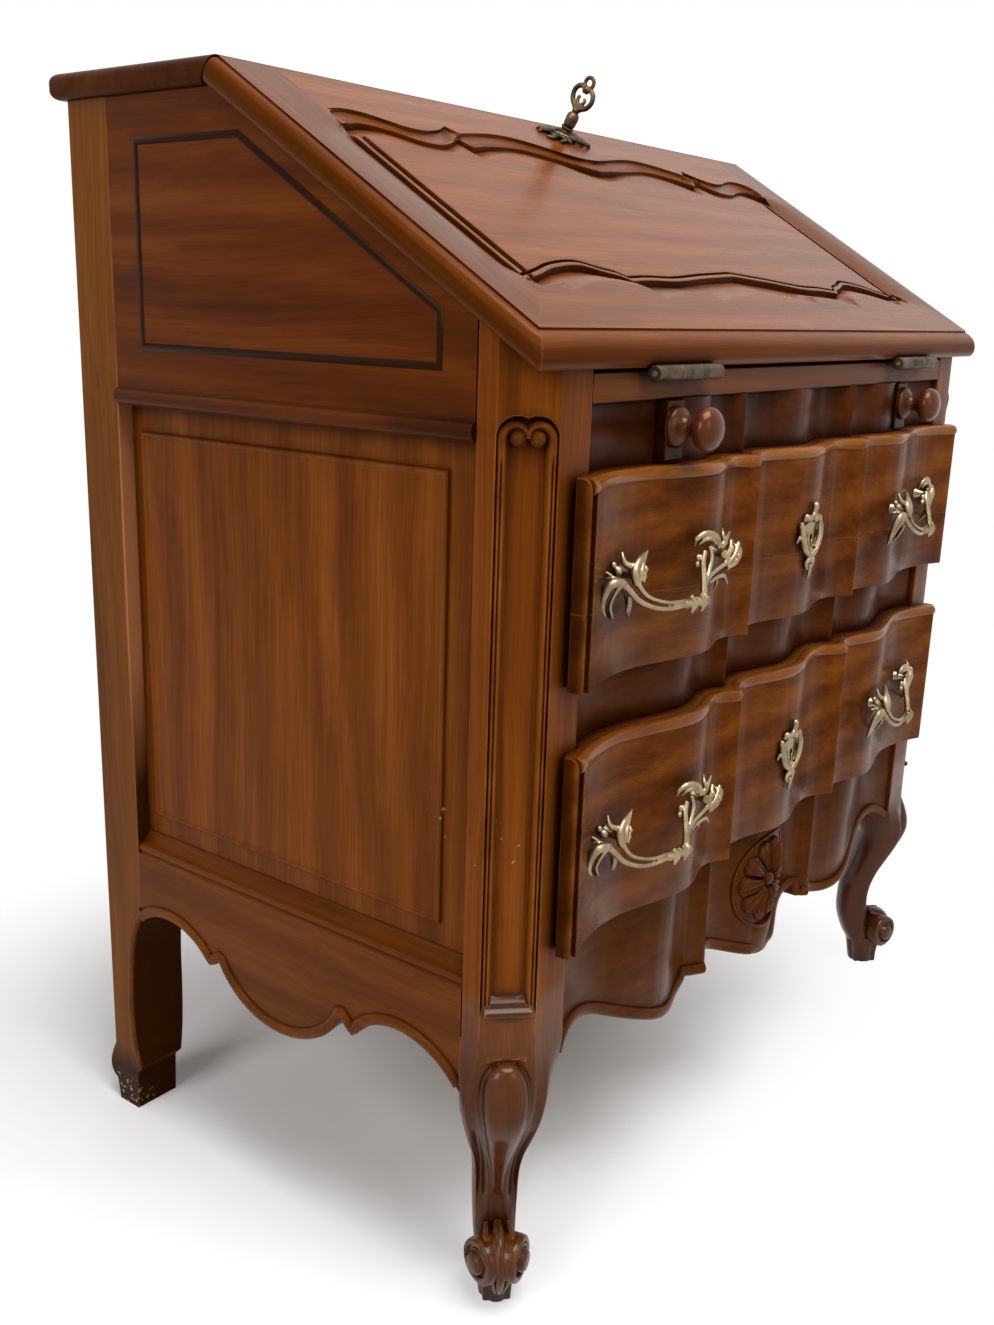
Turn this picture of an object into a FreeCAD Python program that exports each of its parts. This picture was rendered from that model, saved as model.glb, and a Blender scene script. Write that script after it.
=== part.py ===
import FreeCAD, Part
import os
from math import atan2, cos, degrees, hypot, pi, sin, sqrt, tan

# Slant-front writing desk with a crossbow drawer front, in millimetres, +Z up, front towards -Y.
# Depths are counted forward from the back plane of the corner posts.

os.makedirs("parts", exist_ok=True)
doc = FreeCAD.newDocument("secretary")
V = FreeCAD.Vector

SIZES = [
    ("case_width", 818, "outside of the corner posts"),
    ("total_height", 960, "floor to top of the top board"),
    ("hinge_height", 743, "floor to the writing surface"),
    ("post_front", 489, "depth of the front face of the front posts"),
    ("post_width", 69, "width of a post across the front"),
    ("post_depth", 49, "depth of a front post"),
    ("cant", 31, "chamfer of the front posts"),
    ("back_post_depth", 50, "depth of a back post"),
    ("back_post_width", 58, "width of a back post"),
    ("leg_top", 240, "height where the leg leaves the post"),
    ("foot_radius", 19, "radius of the scroll foot"),
    ("foot_width", 46, "width of the scroll foot"),
    ("toe_height", 27, "height of the toe under the scroll"),
    ("side_thick", 18, "thickness of the upper side boards"),
    ("bead_drop", 48, "underside of the side bead below the writing surface"),
    ("bead_size", 14.5, "height of the side bead"),
    ("side_apron_top", 286, "top of the side apron"),
    ("side_apron_thick", 20, "thickness of the side apron"),
    ("panel_thick", 10, "thickness of the side panel round its field"),
    ("field_raise", 4, "rise of the side panel field"),
    ("field_margin", 26, "margin round the side panel field"),
    ("line_width", 4, "width of the cut line on the upper side"),
    ("line_depth", 3, "depth of the cut line on the upper side"),
    ("top_thick", 21, "thickness of the top board"),
    ("top_back", 13, "overhang of the top board at the back"),
    ("lid_overhang", 8, "overhang of top board and fall front at each side"),
    ("lid_reach", 9, "front edge of the fall front before the posts"),
    ("top_depth", 186, "depth of the front edge of the top board"),
    ("lid_thick", 22, "thickness of the fall front"),
    ("lid_gap", 0.3, "clearance under the closed fall front"),
    ("lid_end_gap", 1, "clearance between fall front and top board"),
    ("lid_round", 10, "rounding of the fall front edges"),
    ("stile_width", 65, "width of the fall front stiles"),
    ("fall_field", 21.5, "height of the fall panel field over the inner face"),
    ("fall_channel", 14, "height of the channel floor over the inner face"),
    ("hinge_forward", 4, "hinge axis in front of the fall front edge"),
    ("hinge_drop", 1, "hinge axis below the writing surface"),
    ("hinge_radius", 6, "radius of the hinge barrel"),
    ("hinge_length", 95, "length of the hinge barrel"),
    ("hinge_share", 0.6853, "hinge centre as a share of the clear half width"),
    ("pin_radius", 2, "radius of the hinge pin"),
    ("pin_clear", 0.05, "clearance of the hinge pin in the moving leaf"),
    ("leaf_thick", 2, "thickness of a hinge leaf"),
    ("part_clear", 0.3, "clearance between moving hardware"),
    ("ridge_share", 0.3294, "ridge between the bays as a share of the clear half width"),
    ("ridge_out", 20, "ridges before the posts"),
    ("cove_place", 26, "cove beside the ridge on the middle bay"),
    ("cove_out", 5, "coves of the middle bay before the posts"),
    ("centre_out", 18, "swell of the middle bay before the posts"),
    ("outer_cove_place", 24, "cove beside the ridge on the side bay"),
    ("outer_cove_out", 9, "cove of the side bay before the posts"),
    ("bulge_share", 0.5294, "swell of the side bay as a share of the clear half width"),
    ("bulge_out", 20, "swell of the side bay before the posts"),
    ("hollow_share", 0.8088, "hollow of the side bay as a share of the clear half width"),
    ("hollow_out", 5, "hollow of the side bay before the posts"),
    ("reach_past", 32, "end of the front curve beyond the inner side of the post"),
    ("shoulder_share", 0.9559, "outer rise of the side bay as a share of the clear half width"),
    ("shoulder_out", 9, "outer rise of the side bay before the posts"),
    ("reach_out", 28, "end of the front curve before the posts"),
    ("lip", 18, "rails stand this far behind the drawer faces"),
    ("drawer_gap", 0.5, "clearance behind the drawer lip"),
    ("face_past", 17, "drawer face beyond the inner side of the post"),
    ("moulding", 8, "width of the moulding round a drawer face"),
    ("moulding_step", 4, "step from drawer face to moulding"),
    ("moulding_round", 7, "rounding of the drawer moulding"),
    ("lower_lift", 2, "bottom edge of the lower drawer front over the apron"),
    ("lower_drop", 1, "top edge of the lower drawer face below the drawer rail"),
    ("upper_drop", 5, "bottom edge of the upper drawer front below the top of the drawer rail"),
    ("upper_lift", 1, "top edge of the upper drawer face over the frieze underside"),
    ("apron_top", 308, "top of the front apron"),
    ("lower_share", 0.5238, "lower drawer opening as a share of both openings"),
    ("rail_height", 62, "height of the drawer rail"),
    ("frieze_height", 58, "height of the frieze"),
    ("hinge_rail", 21, "height of the hinge rail"),
    ("fit", 2, "clearance of a drawer in its opening, over and under"),
    ("box_side", 4, "clearance of a drawer box to each post"),
    ("box_thick", 12, "thickness of drawer sides and back"),
    ("box_back", 62, "depth of the back of a drawer box"),
    ("front_sink", 34, "rear face of a drawer front behind the posts"),
    ("bottom_thick", 6, "thickness of a drawer bottom"),
    ("runner_thick", 20, "thickness of a drawer runner"),
    ("rosette_radius", 49, "radius of the sunk round on the apron"),
    ("rosette_height", 250, "height of the rosette centre"),
    ("rosette_sink", 4, "depth of the sunk round"),
    ("apron_swell", 9, "extra swell of the middle of the apron"),
    ("loper_share", 0.6765, "loper centre as a share of the clear half width"),
    ("loper_width", 26, "width of a loper"),
    ("loper_height", 46, "height of a loper"),
    ("loper_gap", 1, "clearance of a loper over and under"),
    ("loper_out", 4, "front end of a loper before the posts"),
    ("knob_radius", 17, "radius of a loper knob"),
    ("knob_length", 39, "length of a loper knob"),
    ("bed_thick", 18, "thickness of the writing bed"),
    ("deck_thick", 10, "thickness of the loper deck"),
    ("cheek_thick", 14, "thickness of the loper guides"),
    ("back_inset", 4, "inset of the back panel"),
    ("back_thick", 8, "thickness of the back panel"),
    ("back_low", 230, "underside of the back panel"),
    ("back_rail", 44, "height of a back rail"),
    ("back_rail_thick", 18, "thickness of a back rail"),
    ("shelf_rise", 60, "underside of the gallery shelf over the writing surface"),
    ("shelf_thick", 10, "thickness of the gallery boards"),
    ("gallery_depth", 168, "depth of the gallery"),
    ("pigeon_place", 130, "inner side of the small drawers from the middle"),
    ("pull_share", 0.7206, "pull centre as a share of the clear half width"),
    ("pull_radius", 4.4, "radius of the bail of a pull"),
    ("bolt_width", 18, "width of a lock bolt"),
    ("key_radius", 3, "radius of the key stem"),
    ("lock_place", 8, "lock of the fall front right of the middle"),
    ("key_drop", 27, "keyhole below the top edge of the fall front"),
]

# places and heights that follow from the sizes
DERIVED = [
    ("clear_half", "case_width / 2 - post_width"),
    ("ridge_place", "clear_half * ridge_share"),
    ("bulge_place", "clear_half * bulge_share"),
    ("hollow_place", "clear_half * hollow_share"),
    ("shoulder_place", "clear_half * shoulder_share"),
    ("reach_place", "clear_half + reach_past"),
    ("face_half", "clear_half + face_past"),
    ("loper_place", "clear_half * loper_share"),
    ("hinge_place", "clear_half * hinge_share"),
    ("pull_place", "clear_half * pull_share"),
    ("frieze_high", "hinge_height - hinge_rail"),
    ("frieze_low", "frieze_high - frieze_height"),
    ("rail_low", "apron_top + lower_share * (frieze_low - apron_top - rail_height)"),
    ("rail_high", "rail_low + rail_height"),
    ("lower_lip", "apron_top + lower_lift"),
    ("lower_face", "rail_low - lower_drop"),
    ("upper_lip", "rail_high - upper_drop"),
    ("upper_face", "frieze_low + upper_lift"),
    ("loper_top", "frieze_high - loper_gap"),
    ("loper_low", "loper_top - loper_height"),
    ("bead_low", "hinge_height - bead_drop"),
    ("shelf_low", "hinge_height + shelf_rise"),
]

sheet = doc.addObject("Spreadsheet::Sheet", "dims")
for row, (name, value, words) in enumerate(SIZES, 1):
    sheet.set("A%d" % row, words)
    sheet.set("B%d" % row, str(value))
    sheet.setAlias("B%d" % row, name)
for row, (name, formula) in enumerate(DERIVED, len(SIZES) + 1):
    sheet.setAlias("B%d" % row, name)
    sheet.set("B%d" % row, "=" + formula)
    doc.recompute()


def dim(name):
    return float(sheet.get(name))


half = dim("case_width") / 2
post_in = half - dim("post_width")
post_front = dim("post_front")
post_back = post_front - dim("post_depth")
back_in = half - dim("back_post_width")
front_back = post_front - dim("front_sink")
loper_front = post_front + dim("loper_out")
side_in = half - dim("side_thick")
lid_thick = dim("lid_thick")
lid_front = post_front + dim("lid_reach")
hinge_z = dim("hinge_height")
lid_half = half + dim("lid_overhang")
top_low = dim("total_height") - dim("top_thick")
# the slope runs from the hinge edge to the front edge of the top board; its length and its angle
top_front = dim("top_depth")
lid_run = lid_front - top_front
lid_rise = dim("total_height") - hinge_z
lid_end = sqrt(hypot(lid_run, lid_rise) ** 2 - lid_thick ** 2)
slope = atan2(lid_rise, lid_run) - atan2(lid_thick, lid_end)


def ahead(name):
    return post_front + dim(name)


# plain shapes

def block(x0, x1, d0, d1, z0, z1):
    return Part.makeBox(x1 - x0, d1 - d0, z1 - z0, V(x0, -d1, z0))


def rod(x0, x1, d, z, radius):
    return Part.makeCylinder(radius, x1 - x0, V(x0, -d, z), V(1, 0, 0))


def curve(points):
    line = Part.BSplineCurve()
    line.interpolate([V(*p) for p in points])
    return [arc.toShape() for arc in line.toBiArcs(0.3)]


def lines(points):
    return [Part.makeLine(V(*a), V(*b)) for a, b in zip(points, points[1:])]


def face_of(edges):
    return Part.Face(Part.Wire(Part.__sortEdges__(edges)))


def prism(points, direction):
    return face_of(lines(points + points[:1])).extrude(V(*direction))


def mirror(shape):
    return shape.mirror(V(0, 0, 0), V(1, 0, 0))


def mirrored(points):
    return [(-p[0],) + tuple(p[1:]) for p in reversed(points)]


def edges_near(shape, test):
    return [e for e in shape.Edges if test(e.BoundBox)]


def one(shape):
    return shape.Solids[0] if len(shape.Solids) == 1 else shape


# the crossbow front: three bays between two ridges, all rails share this one curve

def front_edges(back, swell=0.0):
    ridge = dim("ridge_place")
    cove = ridge - dim("cove_place")
    side = [
        (ridge, back - ahead("ridge_out"), 0),
        (ridge + dim("outer_cove_place"), back - ahead("outer_cove_out"), 0),
        (dim("bulge_place"), back - ahead("bulge_out"), 0),
        (dim("hollow_place"), back - ahead("hollow_out"), 0),
        (dim("shoulder_place"), back - ahead("shoulder_out"), 0),
        (dim("reach_place"), back - ahead("reach_out"), 0),
    ]
    inner = [(cove, back - ahead("cove_out"), 0), (ridge, back - ahead("ridge_out"), 0)]
    middle = mirrored(inner) + [(0, back - ahead("centre_out") - swell, 0)] + inner
    return curve(mirrored(side)) + curve(middle) + curve(side)


def front_wire(back, z, rear=None, rear_back=None, swell=0.0):
    edges = front_edges(back, swell)
    reach = dim("reach_place")
    end = back - ahead("reach_out")
    if rear is not None:
        edges += lines([(-reach, end, 0), (-reach, -rear, 0), (reach, -rear, 0), (reach, end, 0)])
    else:
        far = rear_back - ahead("reach_out")
        edges += front_edges(rear_back, swell)
        edges += lines([(-reach, end, 0), (-reach, far, 0)])
        edges += lines([(reach, end, 0), (reach, far, 0)])
    wire = Part.Wire(Part.__sortEdges__(edges))
    wire.translate(V(0, 0, z))
    return wire


def front_solid(back, x_half, z0, z1, rear=None, rear_back=None, swell=0.0):
    wire = front_wire(back, z0, rear, rear_back, swell)
    slab = Part.Face(wire).extrude(V(0, 0, z1 - z0))
    return one(slab.common(block(-x_half, x_half, 0, 900, z0, z1)))


# slope of the closed fall front

def under_slope(d, gap):
    return hinge_z + (lid_front - d) * tan(slope) - gap / cos(slope)


def above_slope(x0, x1, gap):
    far = lid_front + 200
    points = [
        (x0, -far, under_slope(far, gap)),
        (x0, 100, under_slope(-100, gap)),
        (x0, 100, under_slope(-100, gap) + 600),
        (x0, -far, under_slope(far, gap) + 600),
    ]
    return prism(points, (x1 - x0, 0, 0))


# places

origin_row = len(SIZES) + len(DERIVED) + 1
NODES = []


def piece(label, shape):
    obj = doc.addObject("Part::Feature", label)
    obj.Shape = shape
    obj.Placement = FreeCAD.Placement(V(0, origin_depth, 0), FreeCAD.Rotation()).multiply(shape.Placement)
    NODES.append(obj)
    return obj


def lid_place():
    base = V(0, origin_depth - lid_front, hinge_z)
    return FreeCAD.Placement(base, FreeCAD.Rotation(V(1, 0, 0), degrees(slope)))


def lid_piece(label, shape):
    obj = piece(label, shape)
    obj.Placement = lid_place().multiply(shape.Placement)
    return obj


def from_lid(shape):
    moved = shape.copy()
    moved.rotate(V(0, 0, 0), V(1, 0, 0), degrees(slope))
    moved.translate(V(0, -lid_front, hinge_z))
    return moved


def board(label, x0, x1, d0, d1, z0, z1, keep=True):
    obj = doc.addObject("Part::Box", label)
    obj.setExpression("Length", "(%s) - (%s)" % (x1, x0))
    obj.setExpression("Width", "(%s) - (%s)" % (d1, d0))
    obj.setExpression("Height", "(%s) - (%s)" % (z1, z0))
    obj.setExpression("Placement.Base.x", x0)
    obj.setExpression("Placement.Base.y", "dims.origin_depth - (%s)" % d1)
    obj.setExpression("Placement.Base.z", z0)
    if keep:
        NODES.append(obj)
    return obj


def group(label, members):
    obj = doc.addObject("Part::Compound", label)
    obj.Links = members
    NODES.append(obj)
    return obj


# drawer fronts: overlay lip with a rounded moulding, raised face, block that enters the opening

def drawer_front(z_lip, z_face, z_in, z_top):
    wide = dim("face_half") + dim("moulding")
    tall = z_face + dim("moulding")
    lip_back = dim("lip") - dim("drawer_gap")
    step = dim("moulding_step")
    r = dim("moulding_round")
    straight = front_solid(step, wide, z_lip, tall - r, rear_back=lip_back)
    rings = []
    for turn in (0, 1 / 3, 2 / 3, 1):
        a = turn * pi / 2
        rings.append(front_wire(step + r * (1 - cos(a)), tall - r + r * sin(a), rear_back=lip_back))
    crown = Part.makeLoft(rings, True, True).common(block(-wide, wide, 0, 900, z_lip, tall + 1))
    base = straight.fuse(crown)
    # round the two upright front corners the same way
    for side in (-1, 1):
        near = max(v.Y for v in straight.Vertexes if v.X * side > wide - 0.01 and v.Y < step - 500)
        post = block(wide - r, wide + 1, -near - r, -near + 20, z_lip - 1, tall + 1)
        post = post.cut(Part.makeCylinder(r, tall - z_lip + 4, V(wide - r, near + r, z_lip - 2)))
        base = base.cut(post if side > 0 else mirror(post))
    # the lip stands clear of the flat post faces
    behind = post_front + dim("drawer_gap")
    clear_post = block(post_in - dim("box_side"), wide + 1, 0, behind, z_lip - 1, tall + 1)
    face = front_solid(0, dim("face_half"), z_lip, z_face, rear_back=r + step)
    base = base.fuse(face).cut(clear_post).cut(mirror(clear_post))
    core = front_solid(lip_back, post_in - dim("box_side"), z_in, z_top, rear=front_back)
    return one(base.fuse(core).removeSplitter())


fit = dim("fit")
lower_in = dim("apron_top") + fit
lower_top = dim("rail_low") - fit
upper_in = dim("rail_high") + fit
upper_top = dim("frieze_low") - fit
fronts = {
    "lower": drawer_front(dim("lower_lip"), dim("lower_face"), lower_in, lower_top),
    "upper": drawer_front(dim("upper_lip"), dim("upper_face"), upper_in, upper_top),
}


# pulls: one casting, a hanging bail between two stems on the drawer face, with claws, a hook and leaves

def face_depth(front, x, z):
    probe = Part.makeLine(V(x, -post_front - 200, z), V(x, -front_back - 1, z)).cut(front)
    return -max(v.Y for v in probe.Vertexes)


# strands of the casting: share of the rod radius, then points along, out and up
STRANDS = [
    (1, [(-56, 14, 6), (-60, 20, -9), (-37, 26, -19), (-7, 26, -20), (16, 25, -19), (20, 19, 2), (33, 14, 24),
         (54, 13, 12)]),
    (0.9, [(-74, 4, -26), (-83, 10, -6), (-69, 15, 2), (-57, 11, -13), (-48, 4, -26)]),
    (0.8, [(-56, 15, 4), (-36, 8, 20)]),
    (0.8, [(20, 8, 20), (33, 14, 26)]),
    (0.9, [(46, 14, 8), (75, 11, 8)]),
    (0.7, [(22, 21, -5), (54, 14, 0), (72, 6, -17)]),
]
STEMS = ((-56, 6, 9), (54, 10, 9))


def pull(x, z, front):
    seats = [V(x + a, -face_depth(front, x + a, z + up), 0) for a, up, size in STEMS]
    line = (seats[1] - seats[0]).normalize()
    out = V(line.y, -line.x, 0)
    start = seats[0] - line * STEMS[0][0] + V(0, 0, z)
    parts = []
    for share, points in STRANDS:
        path = [start + line * a + out * o + V(0, 0, up) for a, o, up in points]
        ring = Part.Wire([Part.makeCircle(dim("pull_radius") * share, path[0], path[1] - path[0])])
        parts.append(Part.makePolygon(path).makePipeShell([ring], True, False, 1))
    for a, up, size in STEMS:
        foot = start + line * a + V(0, 0, up)
        parts.append(Part.makeCylinder(size, 22, foot - out * 20, out))
        parts.append(Part.makeCylinder(size / 2, 34, foot - out * 20, out))
    return one(parts[0].fuse(parts[1:]).cut(front))


pulls = {}
for name, z_lip, z_face in (("lower", "lower_lip", "lower_face"), ("upper", "upper_lip", "upper_face")):
    height = (dim(z_lip) + dim(z_face)) / 2
    pair = [pull(side * dim("pull_place"), height, fronts[name]) for side in (-1, 1)]
    pulls[name] = Part.makeCompound(pair)

# the frame sits under the middle of the whole desk
foremost = max(-p.optimalBoundingBox().YMin for p in pulls.values())
foremost = max(foremost, loper_front + dim("knob_length"))
origin_depth = (foremost - dim("top_back")) / 2
sheet.set("A%d" % origin_row, "back plane in front of the frame origin")
sheet.set("B%d" % origin_row, str(origin_depth))
sheet.setAlias("B%d" % origin_row, "origin_depth")
doc.recompute()

# corner posts with cabriole legs

CORNER = V(-half + dim("cant") / 2, -post_front + dim("cant") / 2, 0)
ALONG = V(1, -1, 0) / sqrt(2)
OUT = V(-1, -1, 0) / sqrt(2)


def across(along, out, z):
    return CORNER + ALONG * along + OUT * out + V(0, 0, z)


def leg_ring(z, wide, front, rear, power=2.6, count=16):
    middle = (front + rear) / 2
    deep = (front - rear) / 2
    points = []
    for k in range(count):
        c = cos(2 * pi * k / count)
        s = sin(2 * pi * k / count)
        along = wide * (abs(c) ** (2 / power)) * (1 if c >= 0 else -1)
        out = middle + deep * (abs(s) ** (2 / power)) * (1 if s >= 0 else -1)
        points.append(across(along, out, z))
    return Part.makePolygon(points + points[:1])


# leg: share of its height, half width, then front and rear counted out from the canted face
LEG = [(1, 45, 3, -64), (0.93, 41, 7, -60), (0.85, 37.5, 13, -50), (0.77, 35, 13, -44), (0.69, 31.5, 7, -41),
       (0.6, 26.5, -4, -43), (0.52, 21.5, -13, -48), (0.44, 19.3, -19, -54), (0.35, 18.6, -21.5, -56),
       (0.27, 18, -20, -55), (0.18, 17, -16, -48), (0.09, 15, -10, -36)]
# raised leaf on the knee: share of the height, half width, front
LEAF = [(0.93, 8, 13), (0.87, 15.5, 24), (0.8, 17, 27.5), (0.7, 16, 17), (0.6, 12.5, 3), (0.52, 9.5, -8),
        (0.45, 6, -17)]
FOOT_OUT = -10


def front_leg(top):
    leg = Part.makeLoft([leg_ring(top * q, w, f, r) for q, w, f, r in LEG], True, False)
    leaf = Part.makeLoft([leg_ring(top * q, w, f, f - 34) for q, w, f in LEAF], True, False)
    # the knee fills the corner of the post, the rest stands free
    knee = top * 0.79
    shoulder = block(-half - 60, -post_in, post_back, post_front + 60, knee, top + 10)
    lower = block(-half - 60, -post_in + 80, post_back - 80, post_front + 60, 0, knee)
    leg = leg.common(shoulder.fuse(lower).removeSplitter())
    # scroll foot with a button at each end, and the toe under it
    r = dim("foot_radius")
    toe = dim("toe_height")
    wide = dim("foot_width") / 2
    axis = r + toe - 3
    roll = Part.makeCylinder(r, 2 * wide, across(-wide, FOOT_OUT, axis), ALONG)
    button = Part.makeCylinder(r * 0.48, 2 * wide + 8, across(-wide - 4, FOOT_OUT, axis), ALONG)
    rings = []
    for z, half_width, front, rear in ((0, 13, -3, -34), (toe + 2, 16, 0, -38)):
        corners = [across(-half_width, rear, z), across(half_width, rear, z), across(half_width, front, z),
                   across(-half_width, front, z)]
        rings.append(Part.makePolygon(corners + corners[:1]))
    return [leg, leaf, roll, button, Part.makeLoft(rings, True, True)]


def front_post():
    x0 = -half
    cant = dim("cant")
    low = dim("leg_top")
    plan = [(x0, -post_front + cant, low), (x0 + cant, -post_front, low), (-post_in, -post_front, low),
            (-post_in, -post_back, low), (x0, -post_back, low)]
    post = prism(plan, (0, 0, hinge_z + 100 - low))
    post = post.cut(above_slope(x0 - 20, -post_in + 20, dim("lid_gap")))
    # sunk strip on the canted face with a bead down each side and a ball at each bead's head
    flat = cant * sqrt(2)
    strip = flat * 0.8
    collar = low + 22
    floor = collar + 23
    head = dim("frieze_high") - 22
    pocket = Part.makeBox(strip, 8, head - floor, V(-strip / 2, -4, floor))
    pocket = pocket.fuse(Part.makeCylinder(strip / 2, 8, V(0, -4, head), V(0, 1, 0)))
    pocket.rotate(V(0, 0, 0), V(0, 0, 1), -45)
    pocket.translate(CORNER)
    post = post.cut(pocket)
    extra = [Part.makeCylinder(7, flat * 0.92, across(-flat * 0.46, -3, collar), ALONG)]
    for side in (-1, 1):
        base = across(side * strip * 0.42, -3, floor - 4)
        extra.append(Part.makeCylinder(3.3, head - floor + 4, base, V(0, 0, 1)))
        extra.append(Part.makeCylinder(8.2, 6, across(side * strip * 0.245, -4, head), OUT))
    return one(post.fuse(extra + front_leg(low)).removeSplitter())


post_shape = front_post()
piece("front_post_left", post_shape)
piece("front_post_right", mirror(post_shape))


# back posts run down into shaped legs

def back_post():
    deep = dim("back_post_depth")
    wide = dim("back_post_width")
    knee = dim("leg_top") * 0.9
    # seen from the side
    leg = [(0, -deep, knee), (0, -deep * 0.76, 0.86 * knee), (0, -deep * 0.62, 0.62 * knee),
           (0, -deep * 0.62, 0.4 * knee), (0, -deep * 0.8, 0.22 * knee)]
    heel = [(0, 0, 62), (0, 8, 44), (0, 9, 32), (0, 0, 22)]
    edges = curve(leg) + curve(heel)
    edges += lines([leg[-1], (0, -deep * 0.68, 0.19 * knee), (0, -deep * 0.64, 0), (0, -4, 0), heel[-1]])
    edges += lines([heel[0], (0, 0, top_low), (0, -deep, top_low), leg[0]])
    shape = face_of(edges).extrude(V(wide + 10, 0, 0))
    # seen from the front: the inner side swells and then steps back over the foot
    inner = [(wide, 40, knee), (wide * 0.98, 40, 0.86 * knee), (wide * 1.05, 40, 0.55 * knee),
             (wide * 0.98, 40, 0.33 * knee), (wide * 0.84, 40, 0.22 * knee)]
    edges = curve(inner)
    edges += lines([inner[-1], (wide * 0.8, 40, 0.19 * knee), (wide * 0.8, 40, 0), (0, 40, 0), (0, 40, top_low),
                    (wide, 40, top_low), inner[0]])
    shape = shape.common(face_of(edges).extrude(V(0, -160, 0)))
    shape.translate(V(-half, 0, 0))
    return one(shape)


back_shape = back_post()
piece("back_post_left", back_shape)
piece("back_post_right", mirror(back_shape))


# sides

def side_upper():
    x0 = -half
    d0 = dim("back_post_depth")
    low = dim("bead_low")
    gap = dim("lid_gap")
    reach = lid_front - (top_low - hinge_z + gap / cos(slope)) / tan(slope)
    outline = [(x0, -d0, low), (x0, -post_back, low), (x0, -post_back, under_slope(post_back, gap)),
               (x0, -reach, top_low), (x0, -d0, top_low)]
    shape = prism(outline, (dim("side_thick"), 0, 0))
    # the cut line keeps one margin to all edges
    bead = dim("bead_size")
    near = d0 + 34
    far = post_back - 31
    foot = low + bead + 33
    high = top_low - 33
    drop = 40
    corner = under_slope(far, gap) - drop + 25
    turn = far - (high - corner) / tan(slope)
    ring = [(x0 - 1, -near, foot), (x0 - 1, -far, foot), (x0 - 1, -far, corner), (x0 - 1, -turn, high),
            (x0 - 1, -near, high)]
    outer = face_of(lines(ring + ring[:1]))
    inner = outer.makeOffset2D(-dim("line_width"))
    deep = V(1 + dim("line_depth"), 0, 0)
    groove = outer.extrude(deep).cut(inner.extrude(deep))
    shape = shape.cut(groove)
    centre = V(x0 + 2, -d0, low + bead / 2)
    roll = Part.makeCylinder(bead / 2, post_back - d0, centre, V(0, -1, 0))
    return one(shape.fuse(roll).removeSplitter())


upper_shape = side_upper()
piece("side_upper_left", upper_shape)
piece("side_upper_right", mirror(upper_shape))


def side_panel():
    d0 = dim("back_post_depth")
    z0 = dim("side_apron_top")
    z1 = dim("bead_low")
    x0 = -half + 6
    m = dim("field_margin")
    plate = block(x0, x0 + dim("panel_thick"), d0, post_back, z0, z1)
    rise = dim("field_raise")
    low_ring = Part.makePolygon([V(x0, -d, z) for d, z in (
        (d0 + m - 14, z0 + m - 14), (post_back - m + 14, z0 + m - 14), (post_back - m + 14, z1 - m + 14),
        (d0 + m - 14, z1 - m + 14), (d0 + m - 14, z0 + m - 14))])
    high_ring = Part.makePolygon([V(x0 - rise, -d, z) for d, z in (
        (d0 + m, z0 + m), (post_back - m, z0 + m), (post_back - m, z1 - m), (d0 + m, z1 - m),
        (d0 + m, z0 + m))])
    field = Part.makeLoft([low_ring, high_ring], True, True)
    return one(plate.fuse(field).removeSplitter())


panel_shape = side_panel()
piece("side_panel_left", panel_shape)
piece("side_panel_right", mirror(panel_shape))


def side_apron():
    x0 = -half
    d0 = dim("back_post_depth")
    span = post_back - d0
    top = dim("side_apron_top")

    def at(share, drop):
        return (x0, -(d0 + share * span), top - drop)

    arch_back = [at(0, 76), at(0.04, 66), at(0.10, 61), at(0.17, 65), at(0.254, 87)]
    lobe = [at(0.29, 78), at(0.33, 98), at(0.40, 115), at(0.48, 121), at(0.56, 115), at(0.63, 98),
            at(0.672, 75)]
    arch_front = [at(0.708, 90), at(0.76, 72), at(0.836, 65), at(0.92, 72), at(1, 95)]
    edges = curve(arch_back) + curve(lobe) + curve(arch_front)
    edges += lines([arch_back[-1], lobe[0]])
    edges += lines([lobe[-1], arch_front[0]])
    edges += lines([arch_front[-1], at(1, 0), at(0, 0), arch_back[0]])
    shape = face_of(edges).extrude(V(dim("side_apron_thick"), 0, 0))
    edge = edges_near(shape, lambda b: b.ZMin > top - 0.01 and b.XMax < x0 + 0.01)
    return shape.makeChamfer(6, edge)


apron_shape = side_apron()
piece("side_apron_left", apron_shape)
piece("side_apron_right", mirror(apron_shape))


# front rails on the crossbow curve

def bolt_slot(z):
    wide = dim("bolt_width") / 2 + 2
    return block(-wide, wide, front_back - 11, front_back - 1, z - 1, z + 12)


def front_apron():
    low = dim("apron_top") - 164
    top = dim("apron_top")
    shape = front_solid(dim("lip"), post_in, low, top, rear=post_back, swell=dim("apron_swell"))
    y = -700
    ridge = dim("ridge_place")

    def side_bay(share, drop):
        return (ridge + share * (post_in + 1 - ridge), y, top - drop)

    bay = [side_bay(1, 103), side_bay(0.856, 86), side_bay(0.655, 100), side_bay(0.406, 124),
           side_bay(0.231, 132), side_bay(0.105, 124)]
    step = [bay[-1], (ridge + 18, y, top - 112), (ridge + 15, y, top - 118), (ridge - 9, y, top - 118),
            (ridge - 12, y, top - 104)]
    lobe = [step[-1], (ridge * 0.6, y, top - 115), (0, y, top - 136)]
    lobe = lobe + mirrored(lobe)[1:]
    edges = curve(bay) + curve(lobe) + curve(mirrored(bay))
    edges += lines(step) + lines(mirrored(step))
    foot = low - 10
    edges += lines([bay[0], (bay[0][0], y, foot), (-bay[0][0], y, foot), mirrored(bay)[-1]])
    shape = shape.cut(face_of(edges).extrude(V(0, 400, 0)))
    # sunk round for the carved rosette
    swell = ahead("centre_out") - dim("lip") + dim("apron_swell")
    sunk = Part.makeCylinder(dim("rosette_radius"), 60,
                             V(0, -swell + dim("rosette_sink"), dim("rosette_height")), V(0, -1, 0))
    return one(shape.cut(sunk))


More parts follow.
